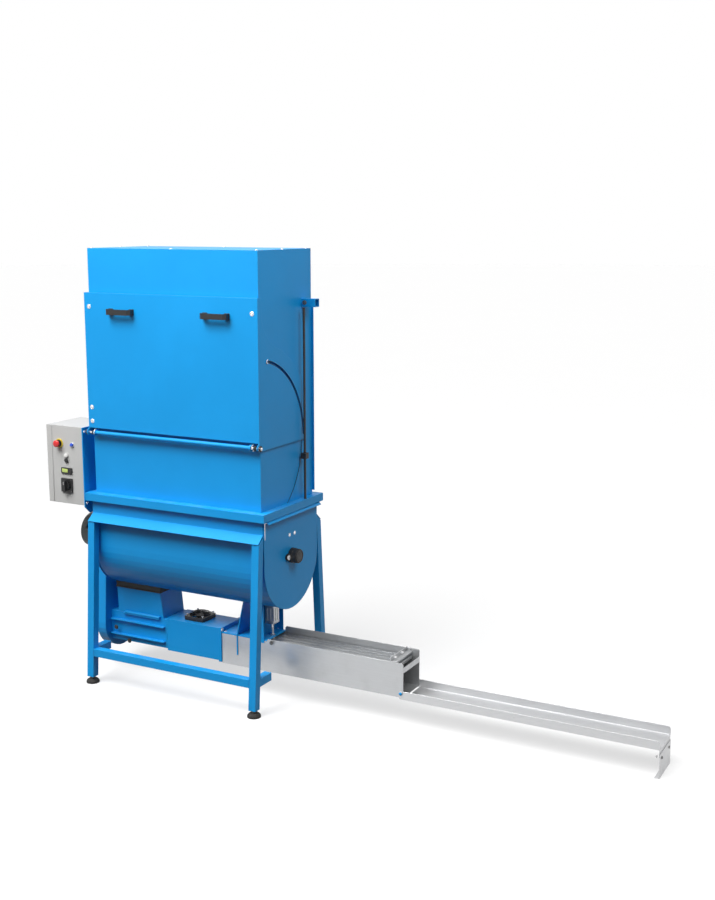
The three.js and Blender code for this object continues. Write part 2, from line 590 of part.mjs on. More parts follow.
function buildCylinder() {
  const { x, side, bottom, top, rodRadius, footRadius } = CYLINDER;
  const half = side / 2;
  const grooves = [[-1, -1], [1, -1], [-1, 1], [1, 1]].flatMap(([u, v]) => [
    block([x + u * 9 - 3, x + u * 9 + 3], sideSpan(v, half - 3, half + 1), [bottom + 14, top - 14]),
    block(sideSpan(u, half - 3, half + 1).map((reach) => reach + x), [v * 9 - 3, v * 9 + 3],
      [bottom + 14, top - 14]),
  ]);
  part('pressure_cylinder', cut(block([x - half, x + half], span(half), [bottom, top]), ...grooves,
    rodZ(rodRadius + GAP, [bottom - 1, top - 14], x, 0)), FINISH.aluminium);
  const foot = PLATE.top + 0.4;
  part('cylinder_rod', join(
    rodZ(rodRadius, [foot, top - 30], x, 0),
    rodZ(footRadius, [foot, foot + 12], x, 0),
  ), FINISH.steel);
}

// ---------------------------------------------------------------- outfeed tray
function buildTray() {
  const { left, floorLeft, right, halfWidth, wall, bottom, top, pivotX, pivotZ, lipBottom } = TRAY;
  const round = 12;
  const side = [
    [left + round, bottom], [right, bottom],
    ...arc(right - round, top - round, round, 0, 90, 4),
    ...arc(left + round, top - round, round, 90, 180, 4),
    ...arc(left + round, bottom + round, round, 180, 270, 4).slice(0, -1),
  ];
  const walls = ENDS.map(([, end]) =>
    alongY(side, sideSpan(end, halfWidth - wall, halfWidth), [circle(pivotX, pivotZ, 4.5)]));
  part('outfeed_tray', join(
    ...walls,
    block([floorLeft, right], span(halfWidth - 0.5), [bottom, bottom + wall]),
    block([right - wall, right], span(halfWidth - 0.5), [lipBottom, bottom + wall]),
  ), FINISH.aluminium);
  const plate = [right + GAP, right + GAP + TRAY_FOOT.thickness];
  part('tray_foot', join(
    block(plate, span(TRAY_FOOT.halfWidth), [0, TRAY_FOOT.top]),
    block([plate[1] - TRAY_FOOT.toe, plate[1]], span(TRAY_FOOT.halfWidth), [0, TRAY_FOOT.thickness]),
  ), FINISH.aluminium);
}

// ---------------------------------------------------------------- control box
const CONTROLS = {
  estop: { x: -716, z: 1240.5 }, start: { x: -631, z: 1238 }, select: { x: -671, z: 1167 },
  counter: { x: -671.5, z: 1099.5 }, mainSwitch: { x: -672.5, z: 1022.5 },
};

function buildControlBox() {
  const { left, right, front, back, bottom, top, lid } = BOX;
  const seam = front + lid;
  part('control_box_body', cut(block([left, right], [seam + GAP, back], [bottom, top]),
    block([left + SHEET, right - SHEET], [seam - 1, back - SHEET], [bottom + SHEET, top - SHEET])),
  FINISH.boxGrey);
  const { estop, start, select, mainSwitch } = CONTROLS;
  const hole = (control, radius, dz = 0) => rodY(radius, [front - 6, front + 5], control.x, control.z + dz);
  const oval = [
    ...arc(select.x, select.z + 12, 15, 0, 180, 10),
    ...arc(select.x, select.z - 12, 15, 180, 360, 10),
  ];
  part('control_box_lid', cut(join(block([left, right], [front, seam], [bottom, top]),
    rodY(13, [front - 2.5, front + 1], start.x, start.z, 24), alongY(oval, [front - 2.5, front + 1])),
    block([left + SHEET, right - SHEET], [front + SHEET, seam + 1], [bottom + SHEET, top - SHEET]),
    hole(estop, 11.5), hole(start, 8.5), hole(select, 7.5, 12), hole(select, 7.5, -12), hole(mainSwitch, 8)),
  FINISH.boxGrey);
  const plate = [[BRACKET.front, BRACKET.top], [BRACKET.front, BRACKET.bottom + 36],
    [BRACKET.front + 38, BRACKET.bottom], [-120, BRACKET.bottom], [-60, BRACKET.bottom + 60],
    [-60, BRACKET.top]];
  part('control_box_bracket', join(alongX(plate.reverse(), [BRACKET.left, BRACKET.right]),
    block([BRACKET.right - 1, -FRAME.halfLength - GAP], [-240, -100], [966, 994]),
    block([BRACKET.right - 1, -WING.inner - WING.thickness - 9], [-150, -100], [1180, 1240])), FINISH.blue);
}

function buttonSolid(control, { radius, proud, stem, cap = radius, dz = 0 }) {
  const { x, z } = control;
  const face = BOX.front;
  return join(rodY(stem, [face - proud + 2, face + 10], x, z + dz),
    rodY(cap, [face - proud, face - proud + Math.min(12, proud - 6)], x, z + dz, 24));
}

function ring(control, radius, bore, thickness, dz = 0) {
  const { x, z } = control;
  const face = BOX.front - GAP;
  return alongY(circle(x, z + dz, radius, 24), [face - thickness, face], [circle(x, z + dz, bore, 24)]);
}

function buildControls() {
  const { estop, start, select, counter, mainSwitch } = CONTROLS;
  const face = BOX.front - GAP;
  part('estop_ring', ring(estop, 24, 12, 4), FINISH.yellow);
  part('estop_button', buttonSolid(estop, { radius: 18, proud: 34, stem: 11 }), FINISH.red);
  part('start_button', buttonSolid(start, { radius: 9, proud: 10, stem: 8 }), FINISH.signalBlue);
  const half = (radius) => ({ radius, proud: 9, stem: 7 });
  part('run_button', buttonSolid(select, { ...half(11.4), dz: 12 }), FINISH.white);
  part('halt_button', buttonSolid(select, { ...half(11.4), dz: -12 }), FINISH.black);
  part('hour_counter', block(
    [counter.x - 35, counter.x + 35], [face - 6, face], [counter.z - 15, counter.z + 15],
  ), FINISH.black);
  part('switch_plate', alongY(
    [[-36, -36], [36, -36], [36, 36], [-36, 36]].map(([u, v]) => [mainSwitch.x + u, mainSwitch.z + v]),
    [face - 9, face], [circle(mainSwitch.x, mainSwitch.z, 8, 24)]), FINISH.black);
  part('switch_knob', join(
    rodY(7, [face - 20, BOX.front + 6], mainSwitch.x, mainSwitch.z, 24),
    rodY(24, [face - 20, face - 9.4], mainSwitch.x, mainSwitch.z, 28),
    block([mainSwitch.x - 9, mainSwitch.x + 9], [face - 34, face - 15],
      [mainSwitch.z - 26, mainSwitch.z + 26]),
  ), FINISH.black);
}

// ---------------------------------------------------------------- hardware on the hopper's right side
function buildSideHardware() {
  const rod = { x: 530, y: 121.5, low: HOPPER.bottom + GAP, high: 1956, radius: 6 };
  part('side_guide_rod', join(rodZ(rod.radius, [rod.low, rod.high], rod.x, rod.y, 16),
    block([rod.x - 14, rod.x + 14], [rod.y - 14, rod.y + 14], [1206, 1235])), FINISH.darkSteel);
}

buildHopper();
buildBaseFrame();
buildDoor();
buildTrough();
buildStand();
buildRotor();
buildDrive();
buildThroat();
buildScrewHousing();
buildScrew();
buildPressBox();
buildChannel();
buildCylinder();
buildTray();
buildControlBox();
buildControls();
buildSideHardware();

// The finished frame: the origin is on the floor under the middle of the bounding box.
const bounds = new THREE.Box3().setFromObject(machine);
const middle = bounds.getCenter(new THREE.Vector3());
machine.position.set(-middle.x, -middle.y, -bounds.min.z);

export default machine;
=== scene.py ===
"""Looks of a screw-type foam compactor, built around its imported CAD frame.

Everything is in metres in the frame of the CAD: +X along the outfeed, +Y to the back, +Z up, and the
origin on the floor under the middle of the machine. The CAD nodes keep their place and get their
finishes here. Fasteners, seals, guards, weld beads and control details are added on the same bodies.
"""

from __future__ import annotations

import json
import logging
import math
from collections.abc import Callable, Iterable, Sequence
from dataclasses import dataclass, field
from enum import Enum

import bmesh
import bpy
from mathutils import Matrix, Vector

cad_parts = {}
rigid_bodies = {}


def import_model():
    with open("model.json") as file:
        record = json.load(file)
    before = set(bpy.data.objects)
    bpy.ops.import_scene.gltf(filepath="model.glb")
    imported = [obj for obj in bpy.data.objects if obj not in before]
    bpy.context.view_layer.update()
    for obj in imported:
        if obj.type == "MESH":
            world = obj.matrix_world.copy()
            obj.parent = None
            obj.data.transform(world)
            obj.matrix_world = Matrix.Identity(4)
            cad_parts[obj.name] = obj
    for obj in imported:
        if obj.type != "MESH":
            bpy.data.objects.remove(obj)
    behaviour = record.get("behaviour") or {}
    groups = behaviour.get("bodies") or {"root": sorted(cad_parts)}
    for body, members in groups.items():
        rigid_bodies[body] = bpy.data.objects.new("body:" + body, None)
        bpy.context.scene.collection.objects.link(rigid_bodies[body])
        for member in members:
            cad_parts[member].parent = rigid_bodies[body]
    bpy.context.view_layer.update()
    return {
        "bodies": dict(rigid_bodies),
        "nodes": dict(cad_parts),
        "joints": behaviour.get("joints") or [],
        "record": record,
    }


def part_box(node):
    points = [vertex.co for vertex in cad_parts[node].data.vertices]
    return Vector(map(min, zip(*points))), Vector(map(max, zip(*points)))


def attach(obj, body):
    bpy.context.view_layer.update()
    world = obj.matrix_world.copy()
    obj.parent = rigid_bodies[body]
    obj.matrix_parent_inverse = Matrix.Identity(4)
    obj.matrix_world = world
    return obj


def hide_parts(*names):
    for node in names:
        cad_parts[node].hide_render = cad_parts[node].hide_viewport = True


log = logging.getLogger("foam_compactor")

Triple = Sequence[float]
UP = Vector((0, 0, 1))
DOWN = Vector((0, 0, -1))
LEFT = Vector((-1, 0, 0))
RIGHT = Vector((1, 0, 0))
FRONT = Vector((0, -1, 0))
BACK = Vector((0, 1, 0))
SINK = 0.0004  # how far a fitted head sits into the sheet below it


class Slot(Enum):
    """The record's material slots."""

    BLUE = "blue_powder_coat"
    PLATED = "plated_steel"
    DARK = "dark_steel"
    CASTING = "black_casting"
    RUBBER = "rubber"
    MOTOR = "motor_grey"
    BLACK = "black_plastic"
    ALUMINIUM = "aluminium"
    BOX = "box_grey"
    YELLOW = "yellow_plastic"
    RED = "red_plastic"
    SIGNAL = "blue_plastic"
    WHITE = "white_plastic"


# ---------------------------------------------------------------------------------- shader graphs
class Sock:
    """One value in a node graph, whose arithmetic adds Math nodes."""

    def __init__(self, graph: Graph, socket: bpy.types.NodeSocket) -> None:
        """Wraps a socket.

        Args:
            graph: The graph that the socket belongs to.
            socket: The output socket.
        """
        self.graph = graph
        self.socket = socket

    def math(self, operation: str, *values: Sock | float) -> Sock:
        """Adds one Math node.

        Args:
            operation: The Math node's operation.
            *values: Its inputs, in order.

        Returns:
            The node's result.
        """
        return self.graph.node("ShaderNodeMath", {"operation": operation}, dict(enumerate(values)))

    def __add__(self, other: Sock | float) -> Sock:
        """The sum."""
        return self.math("ADD", self, other)

    def __radd__(self, other: float) -> Sock:
        """The sum, with the number first."""
        return self.math("ADD", other, self)

    def __sub__(self, other: Sock | float) -> Sock:
        """The difference."""
        return self.math("SUBTRACT", self, other)

    def __rsub__(self, other: float) -> Sock:
        """The difference, with the number first."""
        return self.math("SUBTRACT", other, self)

    def __mul__(self, other: Sock | float) -> Sock:
        """The product."""
        return self.math("MULTIPLY", self, other)

    def __rmul__(self, other: float) -> Sock:
        """The product, with the number first."""
        return self.math("MULTIPLY", other, self)

    def step(self, low: float, high: float) -> Sock:
        """A smooth step.

        Args:
            low: The value that gives 0.
            high: The value that gives 1.

        Returns:
            A mask from 0 to 1.
        """
        settings = {"interpolation_type": "SMOOTHSTEP"}
        return self.graph.node("ShaderNodeMapRange", settings, {0: self, 1: low, 2: high, 3: 0.0, 4: 1.0})


class Graph:
    """The node graph of one finish: a Principled shader and the patterns that feed it."""

    def __init__(self, name: str, **constants: float) -> None:
        """Starts a material.

        Args:
            name: The finish's name.
            **constants: Values of the shader's own sockets, with underscores for spaces.
        """
        self.material = bpy.data.materials.new(name)
        self.material.use_nodes = True
        self.tree = self.material.node_tree
        self.tree.nodes.clear()
        self.shader = self.tree.nodes.new("ShaderNodeBsdfPrincipled")
        output = self.tree.nodes.new("ShaderNodeOutputMaterial")
        self.tree.links.new(self.shader.outputs[0], output.inputs["Surface"])
        for socket, value in constants.items():
            self.shader.inputs[socket.replace("_", " ")].default_value = value
        self.place = self.node("ShaderNodeTexCoord", output="Object")

    def node(
        self,
        kind: str,
        settings: dict[str, object] | None = None,
        inputs: dict[int | str, object] | None = None,
        output: int | str = 0,
    ) -> Sock:
        """Adds a node.

        Args:
            kind: The node's type.
            settings: Its properties, set first. "ramp" holds a colour ramp's stops.
            inputs: Values or links of its sockets, by index or name.
            output: The output to return.

        Returns:
            The wrapped output.
        """
        made = self.tree.nodes.new(kind)
        for key, value in (settings or {}).items():
            if key == "ramp":
                self.set_ramp(made.color_ramp, value)
            else:
                setattr(made, key, value)
        for key, value in (inputs or {}).items():
            self._feed(made.inputs[key], value)
        return Sock(self, made.outputs[output])

    def _feed(self, socket: bpy.types.NodeSocket, value: object) -> None:
        """Links a wrapped value to a socket, or sets the socket's own value.

        Args:
            socket: The input.
            value: A number, a colour or a link.
        """
        if isinstance(value, Sock):
            self.tree.links.new(value.socket, socket)
        elif isinstance(value, (tuple, list)) and socket.type == "RGBA":
            socket.default_value = (*value[:3], 1.0)
        else:
            socket.default_value = value

    @staticmethod
    def set_ramp(ramp: bpy.types.ColorRamp, stops: Sequence[tuple[float, Triple]]) -> None:
        """Gives a colour ramp its stops."""
        while len(ramp.elements) < len(stops):
            ramp.elements.new(1.0)
        for element, (position, colour) in zip(ramp.elements, stops):
            element.position = position
            element.color = (*colour, 1.0)

    def coords(self, scale: Triple = (1.0, 1.0, 1.0)) -> Sock:
        """Object coordinates, stretched along each axis."""
        return self.node("ShaderNodeMapping", None, {"Vector": self.place, "Scale": scale})

    def noise(self, size: float, detail: float = 3.0, stretch: Triple = (1.0, 1.0, 1.0)) -> Sock:
        """A noise.

        Args:
            size: The size of its blotches, in metres.
            detail: The number of finer layers.
            stretch: How much longer the blotches are along each axis.

        Returns:
            A value from 0 to 1.
        """
        where = self.coords(tuple(1.0 / s for s in stretch))
        inputs = {"Vector": where, "Scale": 1.0 / size, "Detail": detail, "Roughness": 0.55}
        return self.node("ShaderNodeTexNoise", None, inputs, "Fac")

    def cells(self, size: float, feature: str = "F1") -> Sock:
        """A cell pattern.

        Args:
            size: The size of its cells, in metres.
            feature: The Voronoi feature.

        Returns:
            The distance to the cell's point or edge, in cells.
        """
        inputs = {"Vector": self.coords(), "Scale": 1.0 / size}
        return self.node("ShaderNodeTexVoronoi", {"feature": feature}, inputs, "Distance")

    def mix(self, factor: Sock | float, first: object, second: object) -> Sock:
        """A mix of two colours.

        Args:
            factor: The share of the second.
            first: A colour or a link.
            second: A colour or a link.

        Returns:
            The colour.
        """
        settings = {"data_type": "RGBA", "blend_type": "MIX", "clamp_factor": True}
        return self.node("ShaderNodeMix", settings, {0: factor, 6: first, 7: second}, 2)

    def axis(self, letter: str, of: Sock | None = None) -> Sock:
        """One component of a vector, by default of the object coordinates."""
        return self.node("ShaderNodeSeparateXYZ", None, {0: of or self.place}, letter)

    def facing(self, letter: str) -> Sock:
        """How much the surface faces along +X, +Y or +Z, from -1 to 1."""
        return self.axis(letter, self.node("ShaderNodeNewGeometry", output="Normal"))

    def rounded(self, radius: float) -> tuple[Sock, Sock]:
        """Rounds the edges in shading.

        Args:
            radius: The edge radius, in metres.

        Returns:
            The rounded normal, and a mask that is 1 on the edges.
        """
        normal = self.node("ShaderNodeBevel", {"samples": 4}, {"Radius": radius})
        flat = self.node("ShaderNodeNewGeometry", output="Normal")
        agree = self.node("ShaderNodeVectorMath", {"operation": "DOT_PRODUCT"}, {0: normal, 1: flat}, "Value")
        return normal, (1.0 - agree).step(0.02, 0.16)

    def bump(self, height: Sock, distance: float, normal: Sock | None = None, strength: float = 1.0) -> Sock:
        """A bump.

        Args:
            height: The height pattern.
            distance: Its depth, in metres.
            normal: The normal below it.
            strength: The share of it that shows.

        Returns:
            The normal.
        """
        inputs: dict[int | str, object] = {"Strength": strength, "Distance": distance, "Height": height}
        if normal is not None:
            inputs["Normal"] = normal
        return self.node("ShaderNodeBump", None, inputs)

    def finish(self, **inputs: object) -> bpy.types.Material:
        """Feeds the shader.

        Args:
            **inputs: Links or values by socket, with underscores for spaces.

        Returns:
            The material.
        """
        for socket, value in inputs.items():
            self._feed(self.shader.inputs[socket.replace("_", " ")], value)
        return self.material


# ---------------------------------------------------------------------------------- finishes
def shade(colour: Triple, factor: float) -> tuple[float, ...]:
    """A colour made darker or lighter by a factor, kept under 1."""
    return tuple(min(1.0, c * factor) for c in colour)


@dataclass(frozen=True)
class PowderCoat:
    """Baked powder paint on sheet steel: orange peel, faint mottling, pale edges (a painted highlight on
    every edge, with chipped paint) and dust.
    """

    name: str
    colour: Triple
    edge_highlight_and_wear: Triple
    roughness: float = 0.42
    peel: float = 0.004
    edge_radius: float = 0.0022
    edge_wear: float = 0.35
    dust: float = 0.10
    grime_height: float = 0.16

    def make(self) -> bpy.types.Material:
        """The material."""
        g = Graph(self.name, Specular_IOR_Level=0.2, Coat_Roughness=0.25)
        normal, edge = g.rounded(self.edge_radius)
        mottle = g.noise(0.35, 4.0)
        cloud = g.noise(1.1, 2.0)
        patches = mottle.step(0.32, 0.72) * 0.5 + cloud * 0.3
        colour = g.mix(patches, shade(self.colour, 0.93), shade(self.colour, 1.05))
        chips = edge * g.noise(0.02, 5.0).step(0.45, 0.62) * self.edge_wear
        # Every edge is lightened towards the pale colour as a painted highlight; the chips add real chipped
        # paint on top.
        colour = g.mix(edge * 0.22 + chips, colour, self.edge_highlight_and_wear)
        settled = g.facing("Z").step(0.75, 1.0) * g.noise(0.06, 5.0).step(0.35, 0.8) * self.dust
        colour = g.mix(settled, colour, (0.62, 0.61, 0.58))
        low = 1.0 - g.axis("Z").step(0.0, self.grime_height)
        splash = low * g.noise(0.03, 5.0, (1.0, 1.0, 2.5)).step(0.46, 0.75)
        colour = g.mix(splash * 0.35, colour, shade(self.colour, 0.35))
        scuff = g.noise(0.012, 3.0, (12.0, 1.0, 1.0)).step(0.66, 0.74) * g.noise(0.22, 2.0).step(0.5, 0.7)
        gloss = self.roughness + 0.10 * (mottle - 0.5) + 0.22 * settled + 0.12 * scuff + 0.2 * splash
        skin = g.noise(self.peel, 2.0) + 0.25 * g.noise(self.peel * 0.3, 1.0)
        return g.finish(
            Base_Color=colour,
            Roughness=gloss,
            Coat_Weight=0.05 * (1.0 - chips),
            Normal=g.bump(skin, 0.00012, normal, 0.7),
        )


@dataclass(frozen=True)
class BareMetal:
    """Unpainted metal: a grain along one direction, dull blotches and fine scratches."""

    name: str
    colour: Triple
    roughness: float
    grain: Triple = (30.0, 1.0, 1.0)
    blotch: float = 0.10
    tarnish: Triple = (0.35, 0.34, 0.32)
    tarnish_share: float = 0.25
    metallic: float = 0.9
    edge_radius: float = 0.0015

    def make(self) -> bpy.types.Material:
        """The material."""
        g = Graph(self.name, Anisotropic=0.0)
        normal, edge = g.rounded(self.edge_radius)
        lines = g.noise(0.0012, 2.0, self.grain)
        wide = g.noise(0.010, 3.0, self.grain)
        dull = g.noise(self.blotch, 5.0).step(0.42, 0.75)
        stain = g.noise(self.blotch * 0.22, 6.0).step(0.55, 0.8)
        colour = g.mix(lines * 0.6 + wide * 0.4, shade(self.colour, 0.86), shade(self.colour, 1.10))
        colour = g.mix((dull * 0.6 + stain * 0.4) * self.tarnish_share, colour, self.tarnish)
        # Every edge is lightened: a painted highlight on the rounded edges.
        colour = g.mix(edge * 0.35, colour, shade(self.colour, 1.35))
        scratch = g.noise(0.0016, 1.0, tuple(3.0 * s for s in self.grain)).step(0.68, 0.73)
        gloss = self.roughness + 0.16 * (dull - 0.5) + 0.12 * (lines - 0.5) + 0.10 * stain - 0.08 * edge
        return g.finish(
            Base_Color=colour,
            Metallic=self.metallic - 0.25 * stain * self.tarnish_share,
            Roughness=gloss,
            Normal=g.bump(lines * 0.5 - scratch, 0.00005, normal, 0.6),
        )


@dataclass(frozen=True)
class Casting:
    """Painted casting: a coarse sand skin, a random darker and lighter tone and rubbed high spots."""

    name: str
    colour: Triple
    grain: float = 0.0022
    roughness: float = 0.55
    rubbed: Triple = (0.20, 0.19, 0.18)

    def make(self) -> bpy.types.Material:
        """The material."""
        g = Graph(self.name, Specular_IOR_Level=0.4)
        normal, edge = g.rounded(0.0025)
        sand = g.noise(self.grain, 3.0) + 0.5 * g.cells(self.grain * 1.8)
        tone = g.noise(0.03, 4.0)
        colour = g.mix(tone, shade(self.colour, 0.7), shade(self.colour, 1.4))
        rub = edge * g.noise(0.008, 4.0).step(0.4, 0.65)
        colour = g.mix(rub * 0.5, colour, self.rubbed)
        oily = g.noise(0.05, 3.0).step(0.55, 0.7)
        gloss = self.roughness + 0.15 * (tone - 0.5) - 0.18 * oily
        return g.finish(Base_Color=colour, Roughness=gloss, Normal=g.bump(sand, 0.0004, normal, 0.6))


@dataclass(frozen=True)
class Moulded:
    """Moulded plastic or rubber: a fine spark-eroded grain, handling shine and dust in the grain."""

    name: str
    colour: Triple
    roughness: float = 0.45
    grain: float = 0.0009
    depth: float = 0.00008
    dust: float = 0.08
    coat: float = 0.0

    def make(self) -> bpy.types.Material:
        """The material."""
        g = Graph(self.name, Specular_IOR_Level=0.45, Coat_Weight=self.coat, Coat_Roughness=0.15)
        normal, edge = g.rounded(0.0012)
        leather = g.cells(self.grain)
        tone = g.noise(0.018, 4.0)
        colour = g.mix(tone, shade(self.colour, 0.86), shade(self.colour, 1.12))
        film = g.noise(0.012, 6.0).step(0.5, 0.85) * g.facing("Z").step(-0.2, 1.0)
        colour = g.mix(film * self.dust, colour, (0.55, 0.53, 0.50))
        # Edges are lightened by a noise: partly a painted highlight, partly handling wear.
        edge_highlight_and_wear = edge * g.noise(0.006, 3.0)
        colour = g.mix(edge_highlight_and_wear * 0.25, colour, shade(self.colour, 1.8))
        gloss = self.roughness + 0.14 * (tone - 0.5) + 0.2 * film * self.dust - 0.1 * edge_highlight_and_wear
        return g.finish(Base_Color=colour, Roughness=gloss, Normal=g.bump(leather, self.depth, normal, 0.8))


@dataclass(frozen=True)
class Display:
    """The hour counter's liquid crystal window: a pale green field with a faint painted glow, and a fine dot
    grid.
    """

    name: str = "display_window"
    colour: Triple = (0.50, 0.62, 0.16)
    dot: float = 0.0011

    def make(self) -> bpy.types.Material:
        """The material."""
        # The emission is a painted glow on the window.
        g = Graph(self.name, Roughness=0.18, Emission_Strength=0.25)
        field_tone = g.noise(0.01, 2.0)
        grid = g.cells(self.dot, feature="DISTANCE_TO_EDGE").step(0.0, 0.12)
        colour = g.mix(grid * (0.7 + 0.3 * field_tone), shade(self.colour, 0.72), self.colour)
        return g.finish(Base_Color=colour, Emission_Color=colour, Roughness=0.16 + 0.08 * field_tone)


@dataclass(frozen=True)
class StudioFloor:
    """A pale seamless floor with barely visible unevenness."""

    name: str = "studio_floor"
    tone: float = 0.40
    glow: float = 0.60

    def make(self) -> bpy.types.Material:
        """The material."""
        g = Graph(self.name, Specular_IOR_Level=0.0, Emission_Strength=self.glow)
        g.shader.inputs["Emission Color"].default_value = (1.0, 1.0, 1.0, 1.0)
        cloud = g.noise(1.6, 3.0)
        low, high = (self.tone * 0.985,) * 3, (self.tone * 1.01,) * 3
        return g.finish(Base_Color=g.mix(cloud, low, high), Roughness=0.85 + 0.05 * cloud)


@dataclass(frozen=True)
class Backdrop:
    """The white wall behind the machine, lit evenly."""

    name: str = "studio_backdrop"
    glow: float = 1.0

    def make(self) -> bpy.types.Material:
        """The material."""
        g = Graph(self.name, Specular_IOR_Level=0.0, Emission_Strength=self.glow)
        g.shader.inputs["Emission Color"].default_value = (1.0, 1.0, 1.0, 1.0)
        g.shader.inputs["Base Color"].default_value = (0.0, 0.0, 0.0, 1.0)
        return g.finish(Roughness=0.9)


# ---------------------------------------------------------------------------------- the bench
class Workpiece:
    """One mesh, added as a primitive and shaped with edit-mode operators, then fitted to a CAD body."""

    def __init__(self, name: str) -> None:
        """Takes the object that was just added and puts its place into its mesh."""
        self.obj = bpy.context.object
        self.obj.name = name
        self.obj.data.name = name
        bpy.ops.object.transform_apply(location=True, rotation=True, scale=True)

    @staticmethod
    def clear() -> None:
        """Leaves edit mode's selection and every object unselected."""
        bpy.ops.object.select_all(action="DESELECT")

    @classmethod
    def box(cls, name: str, low: Triple, high: Triple) -> Workpiece:
        """A box between two corners."""
        cls.clear()
        low, high = Vector(low), Vector(high)
        bpy.ops.mesh.primitive_cube_add(size=1, location=(low + high) / 2)
        bpy.context.object.scale = high - low
        return cls(name)

    @classmethod
    def rod(cls, name: str, start: Triple, end: Triple, radius: float, sides: int = 24) -> Workpiece:
        """A cylinder between two points.

        Args:
            name: Its name.
            start: One end of its axis.
            end: The other end.
            radius: Its radius.
            sides: The number of its sides.

        Returns:
            The rod.
        """
        cls.clear()
        start, end = Vector(start), Vector(end)
        turn = (end - start).to_track_quat("Z", "Y").to_euler()
        bpy.ops.mesh.primitive_cylinder_add(
            vertices=sides,
            radius=radius,
            depth=(end - start).length,
            location=(start + end) / 2,
            rotation=turn,
        )
        return cls(name)

    @classmethod
    def hoop(
        cls, name: str, centre: Triple, along: Vector, major: float, minor: float, sides: int = 32
    ) -> Workpiece:
        """A torus round an axis.

        Args:
            name: Its name.
            centre: Its centre.
            along: Its axis.
            major: The radius of its middle line.
            minor: The radius of its section.
            sides: The number of its segments.

        Returns:
            The hoop.
        """
        cls.clear()
        turn = along.to_track_quat("Z", "Y").to_euler()
        bpy.ops.mesh.primitive_torus_add(
            location=centre,
            rotation=turn,
            major_radius=major,
            minor_radius=minor,
            major_segments=sides,
            minor_segments=8,
        )
        return cls(name)

    @classmethod
    def dome(cls, name: str, centre: Triple, radius: float, scale: Triple = (1, 1, 1)) -> Workpiece:
        """A sphere, stretched along the axes."""
        cls.clear()
        bpy.ops.mesh.primitive_uv_sphere_add(segments=20, ring_count=12, radius=radius, location=centre)
        bpy.context.object.scale = scale
        return cls(name)

    def edit(self, test: Callable[[bmesh.types.BMFace], bool], *steps: Callable[[], object]) -> Workpiece:
        """Shapes part of the mesh.

        Args:
            test: Picks the faces, by their place or normal.
            *steps: Operators to run on them in edit mode.

        Returns:
            The workpiece.
        """
        self.activate()
        bpy.ops.object.mode_set(mode="EDIT")
        bpy.ops.mesh.select_mode(type="FACE")
        bpy.ops.mesh.select_all(action="DESELECT")
        mesh = bmesh.from_edit_mesh(self.obj.data)
        for face in mesh.faces:
            face.select_set(test(face))
        bmesh.update_edit_mesh(self.obj.data)
        for step in steps:
            step()
        bpy.ops.object.mode_set(mode="OBJECT")
        return self

    def edge_bevel(self, width: float, segments: int = 2, angle: float = 40.0) -> Workpiece:
        """Rounds every edge sharper than an angle in degrees with the Bevel modifier."""
        limit = {"limit_method": "ANGLE", "angle_limit": math.radians(angle)}
        return self.modify("BEVEL", width=width, segments=segments, **limit)

    def modify(self, kind: str, **settings: object) -> Workpiece:
        """Adds a modifier with its settings and applies it.

        Args:
            kind: The kind of modifier.
            settings: Its settings.

        Returns:
            The same piece.
        """
        self.activate()
        modifier = self.obj.modifiers.new(kind.lower(), kind)
        for key, value in settings.items():
            setattr(modifier, key, value)
        bpy.ops.object.modifier_apply(modifier=modifier.name)
        return self

    def cut(self, tool: Workpiece) -> Workpiece:
        """Subtracts another workpiece, which is used up."""
        self.modify("BOOLEAN", operation="DIFFERENCE", object=tool.obj, solver="EXACT")
        bpy.data.objects.remove(tool.obj)
        return self

    def join(self, *others: Workpiece) -> Workpiece:
        """Joins other workpieces to this one."""
        self.activate()
        for other in others:
            other.obj.select_set(True)
        bpy.ops.object.join()
        return self

    def copy(self, name: str, place: Matrix) -> Workpiece:
        """A copy with its own mesh, put in place by a matrix.

        Args:
            name: The copy's name.
            place: Where it goes.

        Returns:
            The copy.
        """
        twin = self.obj.copy()
        twin.data = self.obj.data.copy()
        twin.data.transform(place)
        bpy.context.collection.objects.link(twin)
        made = object.__new__(Workpiece)
        made.obj = twin
        twin.name = name
        twin.data.name = name
        return made

    def activate(self) -> None:
        """Makes this the only selected object."""
        self.clear()
        bpy.context.view_layer.objects.active = self.obj
        self.obj.select_set(True)

    def smooth(self, degrees: float = 35.0) -> Workpiece:
        """Shades smooth below an angle."""
        self.activate()
        bpy.ops.object.shade_smooth_by_angle(angle=math.radians(degrees))
        return self

    def fit(
        self, body: str, finish: bpy.types.Material, slot: Slot, replaces: Iterable[str] = ()
    ) -> bpy.types.Object:
        """Hands the piece over.

        Args:
            body: The CAD body that it rides on.
            finish: Its material.
            slot: The record's material slot; not used.
            replaces: CAD nodes that it stands for.

        Returns:
            The object.
        """
        self.smooth()
        self.obj.data.materials.clear()
        self.obj.data.materials.append(finish)
        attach(self.obj, body)
        if replaces:
            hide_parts(*replaces)
        log.info("%s on %s, %d faces", self.obj.name, body, len(self.obj.data.polygons))
        return self.obj


def facing(direction: Vector, share: float = 0.9) -> Callable[[bmesh.types.BMFace], bool]:
    """A test for faces that look along a direction."""
    return lambda face: face.normal.dot(direction) > share


def inset(thickness: float, depth: float = 0.0) -> Callable[[], object]:
    """An inset step."""
    return lambda: bpy.ops.mesh.inset(thickness=thickness, depth=depth, use_even_offset=True)


def extrude(offset: Triple) -> Callable[[], object]:
    """An extrude step by an offset."""
    return lambda: bpy.ops.mesh.extrude_region_move(TRANSFORM_OT_translate={"value": tuple(offset)})


def grow(scale: Triple, about: Triple) -> Callable[[], object]:
    """A resize step about a point."""
    return lambda: bpy.ops.transform.resize(value=tuple(scale), center_override=tuple(about))


class Head(Enum):
    """Fastener heads that are modelled once."""

    BUTTON = "button"
    HEX = "hex"
    NUT = "nut"
    PAN = "pan"
    CAP = "cap"


